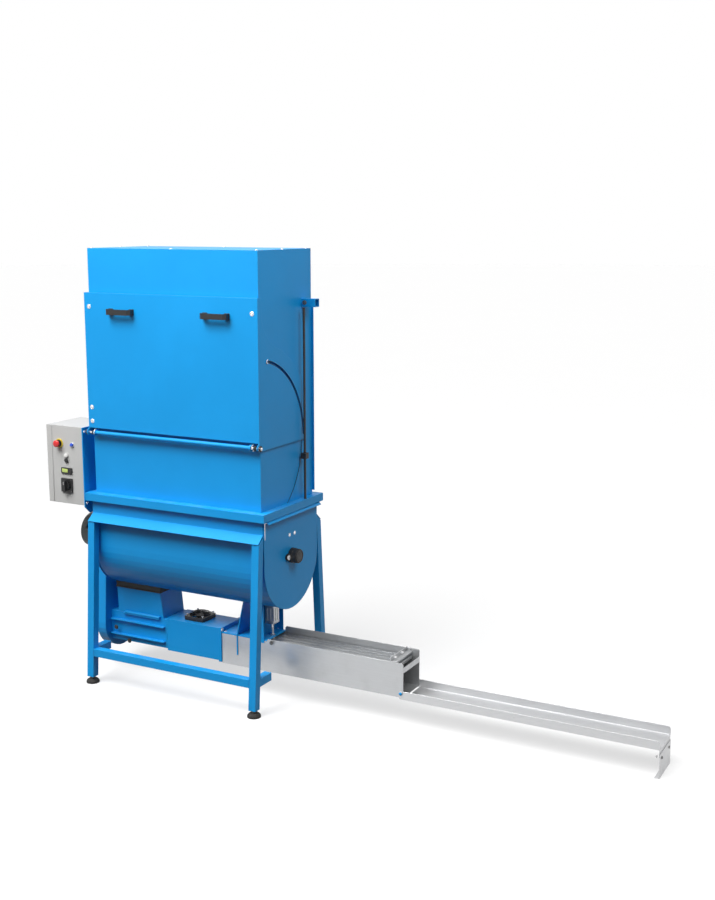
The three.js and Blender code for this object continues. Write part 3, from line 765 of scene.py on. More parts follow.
class FastenerBox:
    """Holds one unit-size model of each head and copies it to where it is screwed in.

    A head is 1 in radius, looks along +Z and sits on Z = 0.
    """

    def __init__(self) -> None:
        """Models the heads."""
        makers = {
            Head.BUTTON: self._button,
            Head.HEX: self._hex,
            Head.NUT: self._nut,
            Head.PAN: self._pan,
            Head.CAP: self._cap,
        }
        self.heads = {head: make() for head, make in makers.items()}

    @staticmethod
    def _button() -> Workpiece:
        """A domed head with a hexagon socket, on a thin washer."""
        head = Workpiece.rod("button_head", (0, 0, 0), (0, 0, 0.28), 1.0, 20)
        top = (0, 0, 0.28)
        head.edit(facing(UP), extrude((0, 0, 0.2)), grow((0.86, 0.86, 1), top))
        head.edit(facing(UP), extrude((0, 0, 0.1)), grow((0.72, 0.72, 1), top))
        head.cut(Workpiece.rod("socket", (0, 0, 0.3), (0, 0, 1), 0.42, 6))
        return head.join(Workpiece.rod("washer", (0, 0, 0), (0, 0, 0.12), 1.35, 20))

    @staticmethod
    def _hex() -> Workpiece:
        """A hexagon head with a turned face, on a washer."""
        head = Workpiece.rod("hex_head", (0, 0, 0.12), (0, 0, 0.62), 1.0, 6)
        head.edit(facing(UP), extrude((0, 0, 0.1)), grow((0.84, 0.84, 1), (0, 0, 0.7)))
        head.edit(facing(UP), inset(0.12), extrude((0, 0, -0.03)))
        return head.join(Workpiece.rod("washer", (0, 0, 0), (0, 0, 0.14), 1.3, 20))

    @staticmethod
    def _nut() -> Workpiece:
        """A nut with the end of its stud."""
        head = Workpiece.rod("nut", (0, 0, 0), (0, 0, 0.75), 1.0, 6)
        head.edit(facing(UP), extrude((0, 0, 0.08)), grow((0.84, 0.84, 1), (0, 0, 0.8)))
        stud = Workpiece.rod("stud", (0, 0, 0), (0, 0, 1.25), 0.52, 14)
        stud.edit(facing(UP), extrude((0, 0, 0.1)), grow((0.8, 0.8, 1), (0, 0, 1.3)))
        return head.join(stud, Workpiece.rod("washer", (0, 0, 0), (0, 0, 0.14), 1.3, 20))

    @staticmethod
    def _pan() -> Workpiece:
        """A low round head with a cross recess."""
        head = Workpiece.rod("pan_head", (0, 0, 0), (0, 0, 0.3), 1.0, 16)
        head.edit(facing(UP), extrude((0, 0, 0.22)), grow((0.74, 0.74, 1), (0, 0, 0.5)))
        for long, short in ((0.5, 0.1), (0.1, 0.5)):
            head.cut(Workpiece.box("recess", (-long, -short, 0.3), (long, short, 1)))
        return head

    @staticmethod
    def _cap() -> Workpiece:
        """A cylindrical socket head."""
        head = Workpiece.rod("cap_head", (0, 0, 0), (0, 0, 0.95), 1.0, 18)
        head.edit(facing(UP), extrude((0, 0, 0.1)), grow((0.88, 0.88, 1), (0, 0, 1)))
        return head.cut(Workpiece.rod("socket", (0, 0, 0.5), (0, 0, 2), 0.5, 6))

    def group(
        self, name: str, head: Head, radius: float, places: Sequence[Triple], look: Vector
    ) -> Workpiece:
        """Screws one head into each place.

        Args:
            name: The name of the joined piece.
            head: The head.
            radius: The head's radius, in metres.
            places: Points on the surface.
            look: The direction in which the heads look.

        Returns:
            The joined heads.
        """
        turn = look.to_track_quat("Z", "Y").to_matrix().to_4x4()
        copies = []
        for index, place in enumerate(places):
            spin = Matrix.Rotation(index * 1.1, 4, "Z")
            seat = Matrix.Translation(Vector(place) - look * SINK)
            copies.append(self.heads[head].copy(name, seat @ turn @ spin @ Matrix.Scale(radius, 4)))
        return copies[0].join(*copies[1:]) if len(copies) > 1 else copies[0]

    def put_away(self) -> None:
        """Removes the models."""
        for head in self.heads.values():
            bpy.data.objects.remove(head.obj)


def weld_bead(
    name: str, start: Triple, end: Triple, radius: float = 0.0026, pitch: float = 0.0034
) -> Workpiece:
    """A fillet weld with its ripples.

    Args:
        name: The piece's name.
        start: The bead's first end.
        end: Its other end.
        radius: Its radius.
        pitch: The distance from one ripple to the next.

    Returns:
        The bead.
    """
    start, end = Vector(start), Vector(end)
    run = end - start
    Workpiece.clear()
    bpy.ops.mesh.primitive_uv_sphere_add(segments=8, ring_count=5, radius=radius, location=start)
    bead = Workpiece(name)
    step = run.normalized() * pitch
    count = max(2, int(run.length / pitch))
    offset = {"use_relative_offset": False, "use_constant_offset": True, "constant_offset_displace": step}
    return bead.modify("ARRAY", count=count, **offset)


def tube_along(name: str, points: Sequence[Triple], radius: float, sides: int = 6) -> Workpiece:
    """A round bar that follows a line of points.

    Args:
        name: The piece's name.
        points: The line.
        radius: The bar's radius.
        sides: The resolution of its section.

    Returns:
        The bar.
    """
    curve = bpy.data.curves.new(name, "CURVE")
    curve.dimensions = "3D"
    curve.bevel_depth = radius
    curve.bevel_resolution = sides // 3
    curve.use_fill_caps = True
    spline = curve.splines.new("POLY")
    spline.points.add(len(points) - 1)
    for point, place in zip(spline.points, points):
        point.co = (*place, 1.0)
    obj = bpy.data.objects.new(name, curve)
    bpy.context.collection.objects.link(obj)
    Workpiece.clear()
    bpy.context.view_layer.objects.active = obj
    obj.select_set(True)
    bpy.ops.object.convert(target="MESH")
    return Workpiece(name)


# ---------------------------------------------------------------------------------- the object's finishes
@dataclass
class Palette:
    """Every finish of the machine, made once, and the CAD nodes that each one dresses."""

    blue: bpy.types.Material = field(init=False)
    box: bpy.types.Material = field(init=False)
    aluminium: bpy.types.Material = field(init=False)
    tray: bpy.types.Material = field(init=False)
    ribbed: bpy.types.Material = field(init=False)
    plated: bpy.types.Material = field(init=False)
    dark: bpy.types.Material = field(init=False)
    casting: bpy.types.Material = field(init=False)
    motor: bpy.types.Material = field(init=False)
    rubber: bpy.types.Material = field(init=False)
    black: bpy.types.Material = field(init=False)
    yellow: bpy.types.Material = field(init=False)
    red: bpy.types.Material = field(init=False)
    signal: bpy.types.Material = field(init=False)
    white: bpy.types.Material = field(init=False)
    display: bpy.types.Material = field(init=False)
    bead: bpy.types.Material = field(init=False)

    def __post_init__(self) -> None:
        """Makes the finishes."""
        self.blue = PowderCoat("blue_powder_coat", (0.004, 0.335, 0.790), (0.06, 0.60, 1.0)).make()
        self.bead = PowderCoat(
            "painted_weld", (0.004, 0.30, 0.72), (0.08, 0.5, 0.9), edge_wear=0.1, peel=0.002
        ).make()
        self.box = PowderCoat(
            "grey_box_coat", (0.56, 0.56, 0.55), (0.86, 0.86, 0.84), 0.5, 0.0022, 0.0025, 0.15, 0.05
        ).make()
        self.aluminium = BareMetal(
            "mill_aluminium", (0.50, 0.51, 0.52), 0.42, tarnish=(0.33, 0.33, 0.32), metallic=0.75
        ).make()
        self.tray = BareMetal(
            "tray_sheet", (0.585, 0.59, 0.60), 0.38, (40.0, 1.0, 1.0), 0.16, (0.50, 0.50, 0.49), 0.2, 0.7
        ).make()
        self.ribbed = BareMetal(
            "ribbed_extrusion", (0.34, 0.35, 0.36), 0.40, tarnish=(0.24, 0.24, 0.24), metallic=0.75
        ).make()
        self.plated = BareMetal(
            "zinc_plate", (0.78, 0.78, 0.79), 0.26, (1.0, 1.0, 3.0), 0.012, (0.52, 0.50, 0.44), 0.3
        ).make()
        self.dark = BareMetal(
            "oiled_steel", (0.14, 0.145, 0.15), 0.42, (1.0, 1.0, 8.0), 0.04, (0.10, 0.07, 0.05), 0.5
        ).make()
        self.casting = Casting("black_casting", (0.018, 0.018, 0.019)).make()
        self.motor = Casting("grey_casting", (0.040, 0.050, 0.052), 0.0028, 0.5, (0.16, 0.17, 0.17)).make()
        self.rubber = Moulded("black_rubber", (0.014, 0.013, 0.012), 0.75, 0.0016, 0.00015, 0.12).make()
        self.black = Moulded("black_plastic", (0.012, 0.012, 0.013), 0.42).make()
        self.yellow = Moulded("yellow_plastic", (0.80, 0.60, 0.01), 0.38, coat=0.2).make()
        self.red = Moulded("red_plastic", (0.72, 0.012, 0.015), 0.30, coat=0.4).make()
        self.signal = Moulded("blue_lens", (0.02, 0.10, 0.72), 0.20, coat=0.6).make()
        self.white = Moulded("white_plastic", (0.82, 0.82, 0.80), 0.35, coat=0.2).make()
        self.display = Display().make()

    def by_slot(self) -> dict[str, bpy.types.Material]:
        """The finish of each material slot of the record."""
        return {
            Slot.BLUE.value: self.blue,
            Slot.PLATED.value: self.plated,
            Slot.DARK.value: self.dark,
            Slot.CASTING.value: self.casting,
            Slot.RUBBER.value: self.rubber,
            Slot.MOTOR.value: self.motor,
            Slot.BLACK.value: self.black,
            Slot.ALUMINIUM.value: self.aluminium,
            Slot.BOX.value: self.box,
            Slot.YELLOW.value: self.yellow,
            Slot.RED.value: self.red,
            Slot.SIGNAL.value: self.signal,
            Slot.WHITE.value: self.white,
        }

    def dress(self, frame: dict[str, object]) -> None:
        """Gives every CAD node the finish of its slot.
        """
        finishes = self.by_slot()
        special = {
            "outfeed_tray": self.tray,
            "tray_foot": self.tray,
            "pressure_plate": self.ribbed,
            "side_guide_rod": self.casting,
        }
        for subpart in frame["record"]["subparts"]:
            node = frame["nodes"][subpart["node"]]
            chosen = special.get(subpart["node"], finishes[subpart["material_slot"]])
            node.data.materials.clear()
            node.data.materials.append(chosen)
            log.info("%s dressed in %s", node.name, chosen.name)


@dataclass
class Assembly:
    """What every sub-assembly needs: the finishes and the fastener box."""

    palette: Palette
    fasteners: FastenerBox

    @property
    def oiled(self) -> dict[str, object]:
        """The settings of oiled black screws."""
        return {"finish": self.palette.dark, "slot": Slot.DARK}

    @property
    def blackened(self) -> dict[str, object]:
        """The settings of black moulded caps."""
        return {"finish": self.palette.black, "slot": Slot.BLACK}

    def screws(
        self,
        name: str,
        head: Head,
        radius: float,
        places: Sequence[Triple],
        look: Vector,
        body: str = "frame",
        finish: bpy.types.Material | None = None,
        slot: Slot = Slot.PLATED,
    ) -> None:
        """Fits a group of heads, zinc plated unless a finish is given."""
        group = self.fasteners.group(name, head, radius, places, look)
        group.fit(body, finish or self.palette.plated, slot)

    def bead(self, name: str, lines: Sequence[tuple[Triple, Triple]], radius: float = 0.0026) -> None:
        """Fits painted weld beads along lines."""
        beads = [weld_bead(name, start, end, radius) for start, end in lines]
        joined = beads[0].join(*beads[1:]) if len(beads) > 1 else beads[0]
        joined.fit("frame", self.palette.bead, Slot.BLUE)


# ---------------------------------------------------------------------------------- hopper and door
@dataclass
class Hopper(Assembly):
    """The sheet hopper: cover screws, rear cover screws, the stub tube's bolt and the foot's welds."""

    head: float = 0.0072
    edge: float = 0.016

    def build(self) -> None:
        """Builds the details."""
        low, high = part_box("hopper_top_cover")
        mid = (low.x + high.x) / 2
        along = (low.x + self.edge, mid, high.x - self.edge)
        top = [(x, y, high.z) for x in along for y in (low.y + self.edge, high.y - self.edge)]
        top += [(x, 0.0, high.z) for x in (low.x + self.edge, high.x - self.edge)]
        self.screws("hopper_cover_screws", Head.BUTTON, self.head, top, UP)
        self._rear_cover()
        self._stub_bolt()
        self._corner_welds(low, high)

    def _rear_cover(self) -> None:
        """Screws on the rear cover."""
        low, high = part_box("rear_cover_panel")
        rows = [low.z + 0.04 + step * (high.z - low.z - 0.08) / 4 for step in range(5)]
        places = [(x, high.y, z) for x in (low.x + 0.02, high.x - 0.02) for z in rows]
        places += [((low.x + high.x) / 2, high.y, z) for z in (rows[0], rows[-1])]
        self.screws("rear_cover_screws", Head.BUTTON, self.head, places, BACK)

    def _stub_bolt(self) -> None:
        """The clamping bolt on the stub tube's front."""
        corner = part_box("hopper_side_right")[1]
        place = (corner.x - 0.06, 0.146, corner.z - 0.258)
        self.screws("stub_tube_bolt", Head.HEX, 0.009, [place], FRONT, **self.oiled)

    def _corner_welds(self, low: Vector, high: Vector) -> None:
        """Weld beads inside the foot of the hopper, on the base frame.

        Args:
            low: The side's lowest corner.
            high: Its highest corner.
        """
        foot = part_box("hopper_back")[0].z
        inner = 0.006
        lines = [
            ((low.x + inner, low.y, foot), (high.x - inner, low.y, foot)),
            ((high.x, low.y + inner, foot), (high.x, high.y - inner, foot)),
            ((low.x, low.y + inner, foot), (low.x, high.y - inner, foot)),
        ]
        self.bead("hopper_foot_welds", lines, 0.0022)


@dataclass
class LoadingDoor(Assembly):
    """The swing-down door: corner bolts, handle screws and pads, black slot edging and strip that paint the
    slot's shade, and its hinge hardware.
    """

    bolt: float = 0.0085
    slot_radius: float = 0.413
    slot_half_width: float = 0.005
    slot_range: tuple[float, float] = (1.6, 80.0)
    edging: float = 0.0011
    pin_angle: float = 79.0
    strip_reach: float = 0.5025

    def build(self) -> None:
        """Builds the details."""
        low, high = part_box("loading_door")
        mid = (low.x + high.x) / 2
        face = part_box("door_handle_left")[1].y
        corners = [(-0.482, 1.953), (0.480, 1.950), (-0.487, 1.446), (-0.487, 1.375)]
        places = [(mid + x, face, z) for x, z in corners]
        self.screws("door_bolts", Head.BUTTON, self.bolt, places, FRONT, "door")
        for side in ("left", "right"):
            self._handle(side)
        self.hinge = Vector((mid, -0.2715, 1.317))
        for side, x in (("left", low.x), ("right", high.x)):
            self._slot_shade_edging(side, x)
            self._shade_strip(side)
        self._hinge_rings(mid)

    def _handle(self, side: str) -> None:
        """Screws and foot pads of one bow handle.

        Args:
            side: Left or right.
        """
        low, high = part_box(f"door_handle_{side}")
        mid_z = (low.z + high.z) / 2
        ends = (low.x + 0.012, high.x - 0.012)
        tabs = [(x, high.y - 0.006, mid_z) for x in (low.x + 0.018, high.x - 0.018)]
        self.screws(f"handle_screws_{side}", Head.CAP, 0.0048, tabs, FRONT, "door")
        pads = []
        for x in ends:
            corners = (x - 0.014, high.y - 0.0035, low.z - 0.002), (x + 0.014, high.y, high.z + 0.002)
            pads.append(Workpiece.box("pad", *corners).edge_bevel(0.0015))
        pads[0].join(pads[1])
        pads[0].obj.name = f"handle_pads_{side}"
        pads[0].fit("door", self.palette.black, Slot.BLACK)

    def _slot_shade_edging(self, side: str, x: float) -> None:
        """A black moulded edging round the curved slot, painted shade that darkens its rim, and a collar and
        a cap on the stop pin.

        Args:
            side: Left or right.
            x: The wing's outer face.
        """
        reach = self.slot_half_width + self.edging
        first, last = (math.radians(a) for a in self.slot_range)
        steps = 44
        rim: list[Triple] = []
        for sign in (1, -1):
            angles = [first + (last - first) * i / steps for i in range(steps + 1)]
            for angle in angles if sign > 0 else reversed(angles):
                rim.append(self._on_arc(x, self.slot_radius + sign * reach, angle))
        rim.append(rim[0])
        # The edging paints the slot's shade along its rim.
        edging = tube_along(f"slot_shade_edging_{side}", rim, self.edging)
        edging.fit("door", self.palette.rubber, Slot.RUBBER)
        seat = self._on_arc(x, self.slot_radius, math.radians(self.pin_angle))
        look = RIGHT if side == "right" else LEFT
        collar = Workpiece.hoop(f"stop_collar_{side}", seat + look * 0.0045, look, 0.0085, 0.0025)
        collar.fit("frame", self.palette.plated, Slot.PLATED)
        self.screws(f"stop_cap_{side}", Head.CAP, 0.0062, [seat + look * 0.0028], look, **self.blackened)

    def _on_arc(self, x: float, radius: float, angle: float) -> Vector:
        """A point at an angle round the hinge line."""
        return Vector((x, self.hinge.y + radius * math.cos(angle), self.hinge.z + radius * math.sin(angle)))

    def _shade_strip(self, side: str) -> None:
        """A black strip on the hopper's flank, painted shade that shows through the curved slot as its dark
        inside.

        Args:
            side: Left or right.
        """
        first, last = (math.radians(a) for a in self.slot_range)
        x = self.hinge.x + (self.strip_reach if side == "right" else -self.strip_reach)
        Workpiece.clear()
        bpy.ops.mesh.primitive_plane_add(size=1, location=self._on_arc(x, self.slot_radius, first))
        bpy.context.object.rotation_euler = (first + math.pi / 2, 0, 0)
        bpy.context.object.scale = (0.003, 0.014, 1)
        strip = Workpiece(f"slot_shade_strip_{side}")
        about = {"center": self.hinge, "axis": RIGHT}
        strip.edit(lambda face: True, lambda: bpy.ops.mesh.spin(steps=40, angle=last - first, **about))
        strip.edit(lambda face: True, lambda: bpy.ops.mesh.normals_make_consistent(inside=False))
        strip.fit("frame", self.palette.rubber, Slot.RUBBER)

    def _hinge_rings(self, mid: float) -> None:
        """Spring rings and bushes near the tube's ends, and the hinge bolts' caps.

        Args:
            mid: The door's middle along X.
        """
        rings = []
        bushes = []
        for x, sign in ((mid - 0.4656, -1), (mid + 0.4795, 1)):
            ring = Workpiece.hoop("ring", (x, self.hinge.y, self.hinge.z + 0.002), RIGHT, 0.0145, 0.0028, 36)
            low = (x - 0.01, self.hinge.y - 0.03, self.hinge.z - 0.018)
            high = (x + 0.01, self.hinge.y - 0.003, self.hinge.z - 0.004)
            ring.cut(Workpiece.box("gap", low, high))
            rings.append(ring)
            start, end = ((x + sign * reach, self.hinge.y, self.hinge.z) for reach in (0.005, 0.017))
            bushes.append(Workpiece.rod("bush", start, end, 0.0122, 28).edge_bevel(0.0012))
        for pieces, name, look, slot in (
            (rings, "hinge_spring_rings", self.palette.plated, Slot.PLATED),
            (bushes, "hinge_tube_bushes", self.palette.rubber, Slot.RUBBER),
        ):
            pieces[0].join(pieces[1])
            pieces[0].obj.name = name
            pieces[0].fit("frame", look, slot)
        for side, look in (("left", LEFT), ("right", RIGHT)):
            bolt_low, bolt_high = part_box(f"hinge_bolt_{side}")
            x = bolt_high.x if side == "right" else bolt_low.x
            seat = (x, self.hinge.y, self.hinge.z)
            cup = Workpiece.hoop(f"hinge_collar_{side}", seat, look, 0.0105, 0.0035)
            cup.fit("frame", self.palette.casting, Slot.CASTING)
            self.screws(f"hinge_cap_{side}", Head.CAP, 0.0072, [seat], look)


# ---------------------------------------------------------------------------------- trough and stand
@dataclass
class Trough(Assembly):
    """The U trough: end plate screws, its slanting lip, bearing bolts and caps, and apron welds."""

    plate: float = 0.004
    flange: float = 0.0123

    def build(self) -> None:
        """Builds the details."""
        low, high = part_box("trough_end_right")
        screws = [(low.x + self.plate, y, 0.8436) for y in (-0.0166, 0.0315)]
        self.screws("trough_end_screws", Head.BUTTON, 0.0068, screws, RIGHT)
        self._lip_and_highlight_strip(low, high)
        for side, look in (("left", LEFT), ("right", RIGHT)):
            self._bearing(side, look)
        self._end_welds()

    def _bearing(self, side: str, look: Vector) -> None:
        """Two flange bolts and, at the free end, a ringed end cap.

        Args:
            side: Left or right.
            look: The direction out of the trough.
        """
        low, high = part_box(f"rotor_bearing_{side}")
        mid = (low + high) / 2
        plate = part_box(f"trough_end_{side}")
        out = self.plate + self.flange
        face = plate[0].x + out if side == "right" else plate[1].x - out
        reach = (high.y - low.y) / 2 - 0.016
        ears = [(face, mid.y - reach, mid.z), (face, mid.y + reach, mid.z)]
        self.screws(f"bearing_bolts_{side}", Head.HEX, 0.0105, ears, look)
        if side == "right":
            ends = ((high.x + reach, mid.y, mid.z) for reach in (-0.002, 0.006))
            cap = Workpiece.rod("bearing_end_cap", *ends, 0.033, 40)
            cap.edit(facing(look), inset(0.005), extrude(look * -0.0025), inset(0.004), extrude(look * 0.002))
            cap.edge_bevel(0.0012)
            cap.fit("frame", self.palette.casting, Slot.CASTING)

    def _lip_and_highlight_strip(self, low: Vector, high: Vector) -> None:
        """The right end plate's slanting lip, and a thin bright strip at its front corner that paints the
        highlight of its rounded edge.

        Args:
            low: The end plate's lowest corner.
            high: Its highest corner.
        """
        y = low.y + 0.0003
        outer = low.x + self.plate + 0.007
        points = [(high.x - 0.001, y, high.z - 0.0015), (outer + 0.008, y, high.z - 0.0015)]
        bend = 0.009
        for step in range(1, 6):
            angle = math.radians(90 + 18 * step)
            x = outer + 0.007 + bend * math.cos(angle)
            points.append((x, y, high.z - 0.0105 + bend * math.sin(angle)))
        points.append((outer - 0.002, y, high.z - 0.087))
        # A bright zinc strip along the front corner: a painted highlight on the plate's edge.
        tube_along("end_plate_highlight_strip", points, 0.0016).fit("frame", self.palette.plated, Slot.PLATED)
        fold = (high.x - 0.001, low.y + 0.002, high.z - 0.0022)
        lip = Workpiece.box("end_plate_lip", fold, (high.x, high.y - 0.002, high.z))
        lip.edit(facing(RIGHT), extrude((0.010, 0, -0.009)))
        lip.edge_bevel(0.0006)
        lip.fit("frame", self.palette.blue, Slot.BLUE)

    def _end_welds(self) -> None:
        """Beads along the foot of each apron's fold, hidden from the front but not from below."""
        low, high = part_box("trough_shell")
        lines = [((low.x + 0.01, y, 0.893), (high.x - 0.01, y, 0.893)) for y in (-0.2545, 0.2545)]
        self.bead("apron_welds", lines, 0.002)


@dataclass
class Stand(Assembly):
    """The welded stand: moulded levelling feet and weld beads at each joint."""

    def build(self) -> None:
        """Builds the details."""
        for end in ("front", "rear"):
            for side in ("left", "right"):
                self._foot(f"foot_{end}_{side}")
        self._welds()

    def _foot(self, node: str) -> None:
        """A stepped domed foot with a threaded stem and its lock nut, in place of the plain one.

        Args:
            node: The foot's CAD node.
        """
        low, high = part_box(node)
        mid = (low + high) / 2
        radius = (high.x - low.x) / 2
        pad_top = low.z + 0.008
        skirt = Workpiece.rod(node + "_moulded", (mid.x, mid.y, low.z), (mid.x, mid.y, pad_top), radius, 48)
        rise = (0.0, 0.0, 0.005)
        centre = (mid.x, mid.y, pad_top)
        steps: list[Callable[[], object]] = []
        for share in (0.94, 0.86, 0.72, 0.5):
            steps += [extrude(rise), grow((share, share, 1), centre)]
        skirt.edit(facing(UP), *steps)
        skirt.modify("BEVEL", width=0.0012, segments=2, limit_method="ANGLE", angle_limit=math.radians(50))
        stem_low = pad_top + 0.016
        stem = Workpiece.rod("stem", (mid.x, mid.y, stem_low), (mid.x, mid.y, high.z), 0.0068, 16)
        threads = [
            Workpiece.hoop("thread", (mid.x, mid.y, stem_low + 0.003 + i * 0.002), UP, 0.0068, 0.0006, 16)
            for i in range(int((high.z - stem_low - 0.004) / 0.002))
        ]
        nut = self.fasteners.group("nut", Head.HEX, 0.0115, [(mid.x, mid.y, 0.0275)], UP)
        skirt.obj.name = node + "_moulded"
        skirt.fit("frame", self.palette.rubber, Slot.RUBBER, [node])
        stem.join(nut, *threads)
        stem.obj.name = node + "_stem"
        stem.fit("frame", self.palette.dark, Slot.DARK)

    def _welds(self) -> None:
        """Beads where the rails meet the legs."""
        lines = []
        for end, sign in (("front", -1), ("rear", 1)):
            low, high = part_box(f"stand_{end}")
            outer = 0.040
            for x in (low.x + outer, high.x - outer):
                y = sign * 0.343
                lines.append(((x, y, 0.149), (x, y, 0.186)))
                lines.append(((x, y, 0.1875), (x, y - sign * 0.036, 0.1875)))
        self.bead("stand_welds", lines, 0.0024)


# ---------------------------------------------------------------------------------- drive
@dataclass
class Drive(Assembly):
    """The drive: the motor's fan cowl grille, the guard's screws and the chain's links."""

    def build(self) -> None:
        """Builds the details."""
        self._motor()
        self._guard()
        self._chain()

    def _motor(self) -> None:
        """The grille on the motor's fan cowl."""
        cowl_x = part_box("drive_gearmotor")[0].x
        centre_z = 0.723
        slots = []
        for ring in (0.022, 0.038, 0.054):
            hoop = Workpiece.hoop("grille", (cowl_x - 0.0005, 0.0, centre_z), LEFT, ring, 0.0018, 36)
            slots.append(hoop)
        for index in range(8):
            angle = index * math.pi / 4
            tip = Vector((cowl_x - 0.0005, 0.062 * math.cos(angle), centre_z + 0.062 * math.sin(angle)))
            slots.append(Workpiece.rod("spoke", (cowl_x - 0.0005, 0.0, centre_z), tip, 0.0016, 8))
        slots[0].join(*slots[1:])
        slots[0].obj.name = "motor_fan_grille"
        slots[0].fit("frame", self.palette.black, Slot.BLACK)

    def _guard(self) -> None:
        """Screws round the chain guard's cover."""
        low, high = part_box("chain_guard_cover")
        mid_y = (low.y + high.y) / 2
        places = [(low.x, mid_y + y, z) for y in (-0.085, 0.085) for z in (0.24, 0.46, 0.68)]
        places += [(low.x, mid_y, low.z + 0.016), (low.x, mid_y, high.z - 0.016)]
        self.screws("guard_cover_screws", Head.BUTTON, 0.0062, places, LEFT)

    def _chain(self) -> None:
        """Roller links over the chain loop, each link modelled once and set along the loop."""
        low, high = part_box("drive_chain")
        x = (low.x + high.x) / 2
        pitch = 0.01905
        big, small = 0.1155, 0.0458
        top, bottom = Vector((x, 0, 0.736)), Vector((x, 0, 0.245))
        lean = math.asin((big - small) / (top - bottom).length)
        points = loop_points(bottom, top, big, small, lean, pitch)
        link = Workpiece.rod("link", (-0.006, 0, 0), (0.006, 0, 0), 0.0055, 10)
        for side in (-0.0068, 0.0068):
            corners = (side - 0.0007, -0.0042, -0.004), (side + 0.0007, pitch + 0.0042, 0.004)
            plate = Workpiece.box("plate", *corners)
            link.join(plate)
        links = []
        for here, ahead in zip(points, points[1:] + points[:1]):
            run = (ahead - here).normalized()
            rise = RIGHT.cross(run)
            turn = Matrix((RIGHT, run, rise)).transposed().to_4x4()
            links.append(link.copy("link", Matrix.Translation(here) @ turn))
        bpy.data.objects.remove(link.obj)
        links[0].join(*links[1:])
        links[0].obj.name = "drive_chain_links"
        links[0].fit("frame", self.palette.dark, Slot.DARK, ["drive_chain"])


def loop_points(
    bottom: Vector, top: Vector, big: float, small: float, lean: float, pitch: float
) -> list[Vector]:
    """Points a chain pitch apart on the loop round two sprockets.

    Args:
        bottom: The big sprocket's centre.
        top: The small sprocket's centre.
        big: The big pitch radius.
        small: The small pitch radius.
        lean: The straight runs' angle off the line of centres.
        pitch: The chain pitch.

    Returns:
        The points, in order round the loop.
    """
    def rim(centre: Vector, radius: float, angle: float) -> Vector:
        """A point on a sprocket's pitch circle."""
        return centre + Vector((0, radius * math.cos(angle), radius * math.sin(angle)))

    dense = [rim(top, small, lean + (math.pi - 2 * lean) * i / 60) for i in range(61)]
    dense += [rim(bottom, big, math.pi - lean + (math.pi + 2 * lean) * i / 160) for i in range(161)]
    dense.append(dense[0])
    lengths = [(b - a).length for a, b in zip(dense, dense[1:])]
    total = sum(lengths)
    count = round(total / pitch)
    found = []
    for index in range(count):
        target = index * total / count
        for start, end, length in zip(dense, dense[1:], lengths):
            if target <= length:
                found.append(start.lerp(end, target / max(length, 1e-9)))
                break
            target -= length
    return found


